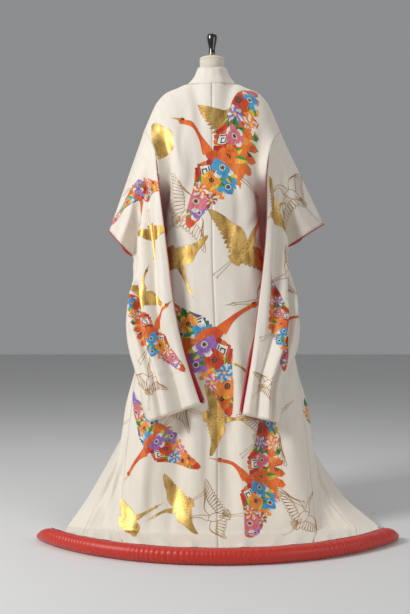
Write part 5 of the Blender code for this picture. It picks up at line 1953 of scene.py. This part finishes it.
class ROBE_OT_materials(bpy.types.Operator):
    """Make the cloth and form materials"""

    bl_idname = "robe.materials"
    bl_label = "Materials"

    def execute(self, context):
        colours = context.scene.robe_colours
        MATERIALS["silk"] = silk_material("ivory_crepe_silk", tuple(colours.ivory),
                                          tuple(colours.ivory_shade), 0.62, 0.20)
        lining = tuple(colours.lining)
        MATERIALS["lining"] = silk_material("red_lining_silk", lining, shade_of(lining, 0.85),
                                            0.45, 0.10, 0.20)
        hem = tuple(colours.hem)
        # The hem's darker colour is painted shade in the hollows of its gathers
        MATERIALS["hem"] = hem_satin_material("red_hem_satin", hem, shade_of(hem, 0.72))
        jersey = tuple(colours.jersey)
        MATERIALS["jersey"] = jersey_material("cream_jersey_knit", jersey, shade_of(jersey, 0.92))
        MATERIALS["dyed_silk"] = dyed_material("hand_dyed_silk")
        # The brown of gold foil and gold thread is painted shade in their creases, over the gold's
        # own uneven tone
        MATERIALS["foil"] = gold_material("gold_foil", (0.92, 0.62, 0.20), (0.34, 0.17, 0.035),
                                          0.48, 0.9, 420.0)
        MATERIALS["thread"] = gold_material("gold_thread", (0.50, 0.27, 0.08),
                                            (0.20, 0.09, 0.025), 0.45, 0.45, 900.0)
        MATERIALS["brass"] = hard_material("aged_brass", (0.46, 0.34, 0.13), (0.20, 0.15, 0.07),
                                           0.34, 1.0)
        MATERIALS["lacquer"] = hard_material("black_lacquer", (0.012, 0.011, 0.011),
                                             (0.006, 0.006, 0.006), 0.16, 0.0, 0.8, 0.004)
        MATERIALS["steel"] = hard_material("grey_painted_steel", (0.15, 0.15, 0.155),
                                           (0.11, 0.11, 0.115), 0.38, 0.6)
        return {"FINISHED"}


# The fine robe, as the panels operator makes it
ROBE = {}


class ROBE_OT_panels(bpy.types.Operator):
    """Make the robe's back, fronts and overlaps of fine silk"""

    bl_idname = "robe.panels"
    bl_label = "Robe panels"

    def execute(self, context):
        ROBE["fine"] = FineRobe()
        for name in ("back_left", "back_right", "front_left", "front_right",
                     "overlap_left", "overlap_right"):
            wall = body_shell(ROBE["fine"], [name]).wall(0.0, SILK_LAYER)
            piece = make_mesh_piece("silk_" + name, wall, MATERIALS["silk"], [name])
        return {"FINISHED"}


class ROBE_OT_sleeves(bpy.types.Operator):
    """Make the two hanging sleeves"""

    bl_idname = "robe.sleeves"
    bl_label = "Sleeves"

    def execute(self, context):
        for side in ("left", "right"):
            wall = sleeve_shell(ROBE["fine"], side).wall(0.0, SILK_LAYER)
            piece = make_mesh_piece("silk_sleeve_" + side, wall, MATERIALS["silk"],
                                    ["sleeve_" + side])
        return {"FINISHED"}


# The collar band's thickness as a share of its solid's, how deep it hollows, and the height
# above which it does so
COLLAR_SHARE = 0.8
COLLAR_HOLLOW = 0.005
COLLAR_CURVED_ABOVE = 1.44
COLLAR_CURVE_FADE = 0.05


class ROBE_OT_collar(bpy.types.Operator):
    """Make the standing collar band"""

    bl_idname = "robe.collar"
    bl_label = "Collar"

    def execute(self, context):
        shell = Shell()
        right, left = (shell.number(collar_panel(side)) for side in ("right", "left"))
        left[:, 0] = right[:, 0]
        shell.add(right, False)
        shell.add(left, True)
        wall = shell.wall(0.0, COLLAR_BAND * COLLAR_SHARE)
        make_mesh_piece("silk_collar", wall, MATERIALS["silk"], ["collar"])
        return {"FINISHED"}


def collar_panel(side):
    """The collar of one side as a fine panel, from its free edge to its seam."""
    robe = ROBE["fine"].sides[side]
    free, seam = collar_edges(robe)
    middle = (seam + free) / 2
    at_neck = np.clip((middle[:, 2] - COLLAR_CURVED_ABOVE) / COLLAR_CURVE_FADE, 0, 1)
    inwards = unit(middle * (-1.0, -1.0, 0.0))
    middle = middle + inwards * (COLLAR_HOLLOW * at_neck)[:, None]
    coarse = np.stack([free, middle, seam], axis=0)
    across = knots_along(coarse, 1)
    panel = Panel("collar_" + side, coarse, knots_along(coarse, 0), across, float(across[-1]))
    panel = panel if side == "right" else panel.mirror()
    panel.press_creases(1.0 if side == "left" else -1.0)
    return panel


def collar_edges(robe):
    """Free and sewn edge of one side's collar, from the nape to its lower end."""
    below = YOKE_ROWS - OVERLAP_START_ROW + int(np.sum(robe.heights > COLLAR_END))
    seam = np.concatenate([robe.back[0, :NECK_SPACES + 1],
                           robe.front[1:OVERLAP_START_ROW + 1, -1],
                           robe.overlap[1:below, -1]])
    along = run_along(seam)
    table = table_columns(COLLAR_EDGE, "along", "x", "y", "z")
    free = smooth(table[:, 0], table[:, 1:], np.minimum(along, table[-1, 0]))
    levels = int(np.sum(robe.heights > COLLAR_END))
    edge = robe.collar_edge[:levels]
    free[-levels:] = edge
    free[-1] = robe.overlap[below, -1]
    return free, seam


class ROBE_OT_linings(bpy.types.Operator):
    """Line the robe and its sleeves in red, with rolled edges at cuffs and open edges"""

    bl_idname = "robe.linings"
    bl_label = "Linings"

    def execute(self, context):
        robe = FineRobe(LINING_FINE)
        for side in ("left", "right"):
            for name, parts in (("back", ["back_"]), ("front", ["front_", "overlap_"])):
                shell = body_shell(robe, [part + side for part in parts])
                wall = shell.wall(LINING_DEPTH, LINING_LAYER)
                make_mesh_piece("red_lining_" + name + "_" + side, wall, MATERIALS["lining"],
                                ["lining_" + name + "_" + side])
            wall = sleeve_shell(robe, side).wall(LINING_DEPTH, LINING_LAYER)
            make_mesh_piece("red_sleeve_lining_" + side, wall, MATERIALS["lining"],
                            ["sleeve_lining_" + side])
            roll_sleeve_edges(side)
        return {"FINISHED"}


# Radius of the rolled edge at the cuff and at the open edges, and the points round it
ROLLED_CUFF = 0.0021
ROLLED_EDGE = 0.0010
ROLL_ROUND = 8


def roll_sleeve_edges(side):
    """Narrow rolled red edges round a sleeve's cuff and down its open inner edge."""
    back = ROBE["fine"].panels["sleeve_back_" + side]
    front = ROBE["fine"].panels["sleeve_front_" + side]
    open_rows = ~ROBE["fine"].closed_rows
    cuff = np.concatenate([back.points[open_rows, -1][::-1], front.points[open_rows, -1][1:]])
    below = back.down > back.down[open_rows][-1]
    for name, path, size in (("cuff", cuff, ROLLED_CUFF),
                             ("back_edge", back.points[below, 0], ROLLED_EDGE),
                             ("front_edge", front.points[below, 0], ROLLED_EDGE)):
        wall = rolled_edge(path, size)
        make_mesh_piece("red_" + name + "_" + side, wall, MATERIALS["lining"], ())


def tube_cells(rows, columns):
    """Cells of a tube of rings, closed by a fan round a middle point at each end."""
    grid = np.arange(rows * columns).reshape(rows, columns)
    after = np.roll(grid, -1, axis=1)
    cells = np.stack([grid[:-1], after[:-1], after[1:], grid[1:]], axis=2).reshape(-1, 4)
    first, last = np.full(columns, grid.size), np.full(columns, grid.size + 1)
    return np.concatenate([cells, np.stack([first, after[0], grid[0], first], axis=1),
                           np.stack([last, grid[-1], after[-1], last], axis=1)])


def rolled_edge(path, size):
    """A closed thin roll along a path."""
    ahead = unit(np.gradient(path, axis=0))
    level = unit(np.cross(ahead, np.array([0.0, 1.0, 0.0])))
    third = np.cross(ahead, level)
    turns = np.linspace(0, 2 * math.pi, ROLL_ROUND, endpoint=False)
    rings = path[:, None] + size * (np.cos(turns)[None, :, None] * level[:, None]
                                    + np.sin(turns)[None, :, None] * third[:, None])
    points = np.concatenate([rings.reshape(-1, 3), path[:1], path[-1:]])
    along = run_along(path)
    places = np.stack(np.meshgrid(turns * size, along), axis=2).reshape(-1, 2)
    places = np.concatenate([places, [[0.0, 0.0], [0.0, along[-1]]]])
    return Wall(points, tube_cells(len(path), ROLL_ROUND), places)


class ROBE_OT_padded_hem(bpy.types.Operator):
    """Make the padded red hem with its gathers"""

    bl_idname = "robe.padded_hem"
    bl_label = "Padded hem"

    def execute(self, context):
        sizes = context.scene.robe_hem
        piece = make_mesh_piece("satin_padded_hem", hem_wall(sizes), MATERIALS["hem"],
                                ["padded_hem"])
        return {"FINISHED"}


# Rings along the padded hem, points round each ring, how far slack cloth swells, and the
# uneven waves of the gathers' places and of the slack: height, pitch and start
HEM_STATIONS = 1000
HEM_ROUND = 22
HEM_SLACK = 0.0007
GATHER_WAVES = ((1.6, 11.0, 0.0), (1.1, 29.0, 0.7))
SLACK_WAVES = ((0.5, 43.0, 0.4), (0.5, 23.0, 0.0))
GATHER_SWAY = 2.2


def waves(along, rows):
    """A sum of sines along the hem."""
    return sum(height * np.sin(along * pitch + start) for height, pitch, start in rows)


def hem_wall(sizes):
    """The roll as a closed skin, with uneven gathers that run round it."""
    half_length = ROLL_HALF_ANGLE * HEM_RADIUS
    angles = np.linspace(-ROLL_HALF_ANGLE, ROLL_HALF_ANGLE, HEM_STATIONS)
    along = angles * HEM_RADIUS
    to_tip = half_length - np.abs(along)
    full = ROLL_TIP + (1 - ROLL_TIP) * np.sin(np.clip(to_tip / ROLL_TAPER, 0, 1) * math.pi / 2)
    phase = 2 * math.pi * along / sizes.gather_spacing
    pleats = np.abs(np.sin((phase + GATHER_SWAY * waves(along, GATHER_WAVES)) / 2))
    strength = 0.55 + 0.45 * np.sin(along * 17.0 + 1.3) * np.sin(along * 5.0)
    slack = HEM_SLACK * waves(along, SLACK_WAVES)
    turns = np.linspace(0, 2 * math.pi, HEM_ROUND, endpoint=False)
    points, places = [], []
    for turn in turns:
        inner_top = 0.5 + 0.5 * math.cos(turn - 2.2)
        cut = sizes.gather_depth * (1 - pleats) * strength * (0.35 + 0.65 * inner_top)
        radius = (ROLL_RADIUS - cut) * full + slack * full
        out = HEM_RADIUS + radius * math.cos(turn)
        height = np.maximum(ROLL_CENTRE * full + radius * math.sin(turn), 0.0)
        points.append(np.column_stack([HEM_CENTRE_X + out * np.sin(angles),
                                       HEM_CENTRE_Y - out * np.cos(angles), height]))
        places.append(np.column_stack([along, np.full_like(along, turn * ROLL_RADIUS)]))
    grid = np.arange(HEM_ROUND * HEM_STATIONS).reshape(HEM_ROUND, HEM_STATIONS)
    after = np.roll(grid, -1, axis=0)
    cells = np.stack([grid[:, :-1], grid[:, 1:], after[:, 1:], after[:, :-1]], axis=2)
    points, places = np.concatenate(points), np.concatenate(places)
    count = len(points)
    ends = []
    for column, ring in ((0, grid[:, 0]), (1, grid[::-1, -1])):
        middle = count + column
        ends += [[middle, ring[index], ring[(index + 1) % HEM_ROUND], middle]
                 for index in range(HEM_ROUND)]
    middles = [points[grid[:, 0]].mean(axis=0), points[grid[:, -1]].mean(axis=0)]
    places = np.concatenate([places, [[along[0], 0.0], [along[-1], 0.0]]])
    return Wall(np.concatenate([points, middles]), np.concatenate([cells.reshape(-1, 4), ends]),
                places)


def lathe(name, profile, sides, material, replaced):
    """Turn a profile of (radius, height) round the vertical axis, as on a lathe."""
    bpy.ops.object.select_all(action="DESELECT")
    first = profile[0]
    bpy.ops.mesh.primitive_circle_add(vertices=sides, radius=first[0], fill_type="NGON",
                                      location=(0, 0, first[1]))
    piece = bpy.context.active_object
    bpy.ops.object.mode_set(mode="EDIT")
    bpy.ops.mesh.select_all(action="SELECT")
    for (radius, height), (next_radius, next_height) in zip(profile, profile[1:]):
        bpy.ops.mesh.extrude_region_move(
            TRANSFORM_OT_translate={"value": (0, 0, next_height - height)})
        share = next_radius / radius
        bpy.ops.transform.resize(value=(share, share, 1), center_override=(0, 0, next_height))
    bpy.ops.mesh.select_all(action="SELECT")
    bpy.ops.mesh.normals_make_consistent(inside=False)
    bpy.ops.object.mode_set(mode="OBJECT")
    bpy.ops.object.transform_apply(location=True, rotation=True, scale=True)
    bpy.ops.object.shade_smooth_by_angle(angle=math.radians(SHARP_EDGE))
    piece.name = name
    piece.data.name = name
    piece.data.materials.append(material)
    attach(piece, "root")
    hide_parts(replaced)


def rounded(profile, per_step=5):
    """A lathe profile with soft curves through its points."""
    table = np.array([(point.radius, point.height) for point in profile if point.radius > 0])
    knots = run_along(table)
    marks = fine_marks(knots, knots[-1] / (per_step * len(table)))
    return [tuple(row) for row in smooth(knots, table, marks)]


# The form's points round and height of its rows, its seams down front and back, the size
# of its cap beside the solid's, and the sides and sharpest soft edge of turned pieces
FORM_SIDES = 96
FORM_ROW = 0.012
FORM_HALF_WIDTH = 0.1
FORM_SEAM_DEPTH = 0.0009
FORM_SEAM_WIDTH = 0.0022
CAP_SHARE = 0.94
KNOB_SIDES = 64
SHARP_EDGE = 32


def torso_points():
    """Level rings of the form, smooth from hip to neck."""
    heights = np.array([ring.height for ring in TORSO])
    marks = fine_marks(heights, FORM_ROW)
    table = table_columns(TORSO, "half_width", "half_depth", "centre_y")
    width, depth, centre = smooth(heights, table, marks).T
    turns = np.linspace(0, 2 * math.pi, FORM_SIDES, endpoint=False)
    across = np.cos(turns)[None, :]
    deep = np.sin(turns)[None, :]
    near_seam = np.exp(-((np.abs(across) * width[:, None]) / FORM_SEAM_WIDTH) ** 2)
    seams = 1 - FORM_SEAM_DEPTH * near_seam / FORM_HALF_WIDTH
    x = width[:, None] * across * seams
    y = centre[:, None] + depth[:, None] * deep * seams
    return np.stack([x, y, np.broadcast_to(marks[:, None], x.shape)], axis=2)


class ROBE_OT_dress_form(bpy.types.Operator):
    """Make the limbless form, its neck cap, flange, knob and stand"""

    bl_idname = "robe.dress_form"
    bl_label = "Dress form"

    def execute(self, context):
        rings = torso_points()
        middles = [rings[0].mean(axis=0), rings[-1].mean(axis=0)]
        points = np.concatenate([rings.reshape(-1, 3), middles])
        wall = Wall(points, tube_cells(*rings.shape[:2]), np.zeros((len(points), 2)))
        make_mesh_piece("form_cover", wall, MATERIALS["jersey"], ["form_torso"])
        cap = [Turned(point.radius * CAP_SHARE, point.height) for point in NECK_CAP]
        lathe("form_cap", rounded(cap), FORM_SIDES, MATERIALS["jersey"], "form_neck_cap")
        lathe("knob_flange", rounded(FLANGE), KNOB_SIDES, MATERIALS["brass"], "form_flange")
        lathe("turned_knob", rounded(KNOB), KNOB_SIDES, MATERIALS["lacquer"], "form_knob")
        lathe("stand_base", rounded(BASE), FORM_SIDES, MATERIALS["steel"], "form_base")
        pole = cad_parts["form_pole"]
        pole.data.materials.clear()
        pole.data.materials.append(MATERIALS["steel"])
        return {"FINISHED"}


def power_property(name, description, default):
    """A light's strength that a user may change."""
    return bpy.props.FloatProperty(name=name, description=description, default=default,
                                   min=0.0, max=2000.0, unit="POWER")


class StageLights(bpy.types.PropertyGroup):
    """Strength of the studio's lights."""

    key: power_property("Key light", "Large soft light from the front left", 128.0)
    fill: power_property("Fill light", "Soft light from the right", 30.0)
    top: power_property("Top light", "Soft light from above", 20.0)


# Where the camera stands and its lens, what the lights look at, the place and size of each
# light, and the backdrop
CAMERA_PLACE = (-0.0256, -3.6, 0.75)
CAMERA_LENS = 57.8
SENSOR_WIDTH = 36.0
LOOK_AT = (0.0, -0.1, 0.85)
FLOOR_SIZE = 24.0
LIGHTS = {
    "key": ((-3.1, -2.1, 2.7), 1.3),
    "fill": ((3.0, -2.6, 1.6), 1.8),
    "top": ((0.2, 0.6, 3.4), 2.2),
}
SKY_COLOUR = (0.80, 0.81, 0.83, 1)
SKY_STRENGTH = 0.33


def add_area_light(name, place, size, power):
    """A square soft light that looks at the robe."""
    data = bpy.data.lights.new(name, "AREA")
    data.size = size
    data.energy = power
    light = bpy.data.objects.new(name, data)
    bpy.context.scene.collection.objects.link(light)
    light.location = place
    direction = light.location - Vector(LOOK_AT)
    light.rotation_euler = direction.to_track_quat("Z", "Y").to_euler()


class ROBE_OT_stage(bpy.types.Operator):
    """Set the floor, the soft lights and the camera"""

    bl_idname = "robe.stage"
    bl_label = "Stage"

    def execute(self, context):
        lights = context.scene.robe_lights
        camera = bpy.data.objects.new("camera", bpy.data.cameras.new("camera"))
        context.scene.collection.objects.link(camera)
        camera.location = CAMERA_PLACE
        camera.rotation_euler = (math.radians(90), 0, 0)
        camera.data.lens = CAMERA_LENS
        camera.data.sensor_width = SENSOR_WIDTH
        context.scene.camera = camera
        context.scene.view_settings.view_transform = "Standard"
        for name, (place, size) in LIGHTS.items():
            add_area_light(name + "_light", place, size, getattr(lights, name))
        bpy.ops.object.select_all(action="DESELECT")
        bpy.ops.mesh.primitive_plane_add(size=FLOOR_SIZE, location=(0, 0, 0))
        floor = context.active_object
        floor.name = "studio_floor"
        floor.data.materials.append(floor_material(tuple(context.scene.robe_colours.floor)))
        world = context.scene.world or bpy.data.worlds.new("studio")
        context.scene.world = world
        world.use_nodes = True
        background = world.node_tree.nodes["Background"]
        background.inputs["Color"].default_value = SKY_COLOUR
        background.inputs["Strength"].default_value = SKY_STRENGTH
        return {"FINISHED"}


def floor_material(colour):
    """Plain pale floor with a faint unevenness."""
    material, nodes, links, shader = new_material("pale_floor", 0.75)
    place = nodes.new("ShaderNodeTexCoord").outputs["Object"]
    cloudy = noise(nodes, links, place, 1.5, 3.0)
    tint = colour_node(nodes, links, cloudy, shade_of(colour, 0.96), colour)
    links.new(tint, shader.inputs["Base Color"])
    return material


class ROBE_PT_pieces(bpy.types.Panel):
    """Lists the robe's pieces and their settings"""

    bl_idname = "ROBE_PT_pieces"
    bl_label = "Robe"
    bl_space_type = "VIEW_3D"
    bl_region_type = "UI"
    bl_category = "Robe"

    def draw(self, context):
        layout = self.layout
        scene = context.scene
        for group in (scene.robe_colours, scene.robe_hem, scene.robe_lights):
            box = layout.box()
            for name in group.__annotations__:
                box.prop(group, name)
        for operator in OPERATORS:
            layout.operator(operator.bl_idname)


OPERATORS = (ROBE_OT_materials, ROBE_OT_panels, ROBE_OT_sleeves, ROBE_OT_collar,
             ROBE_OT_linings, ROBE_OT_ornament, ROBE_OT_padded_hem, ROBE_OT_dress_form,
             ROBE_OT_stage)
CLASSES = (RobeColours, HemSizes, StageLights, *OPERATORS, ROBE_PT_pieces)


def register():
    for made_class in CLASSES:
        bpy.utils.register_class(made_class)
    bpy.types.Scene.robe_colours = bpy.props.PointerProperty(type=RobeColours)
    bpy.types.Scene.robe_hem = bpy.props.PointerProperty(type=HemSizes)
    bpy.types.Scene.robe_lights = bpy.props.PointerProperty(type=StageLights)


def unregister():
    del bpy.types.Scene.robe_lights
    del bpy.types.Scene.robe_hem
    del bpy.types.Scene.robe_colours
    for made_class in reversed(CLASSES):
        bpy.utils.unregister_class(made_class)


def main():
    register()
    for operator in OPERATORS:
        group, name = operator.bl_idname.split(".")
        getattr(getattr(bpy.ops, group), name)()


if __name__ == "__main__":
    main()
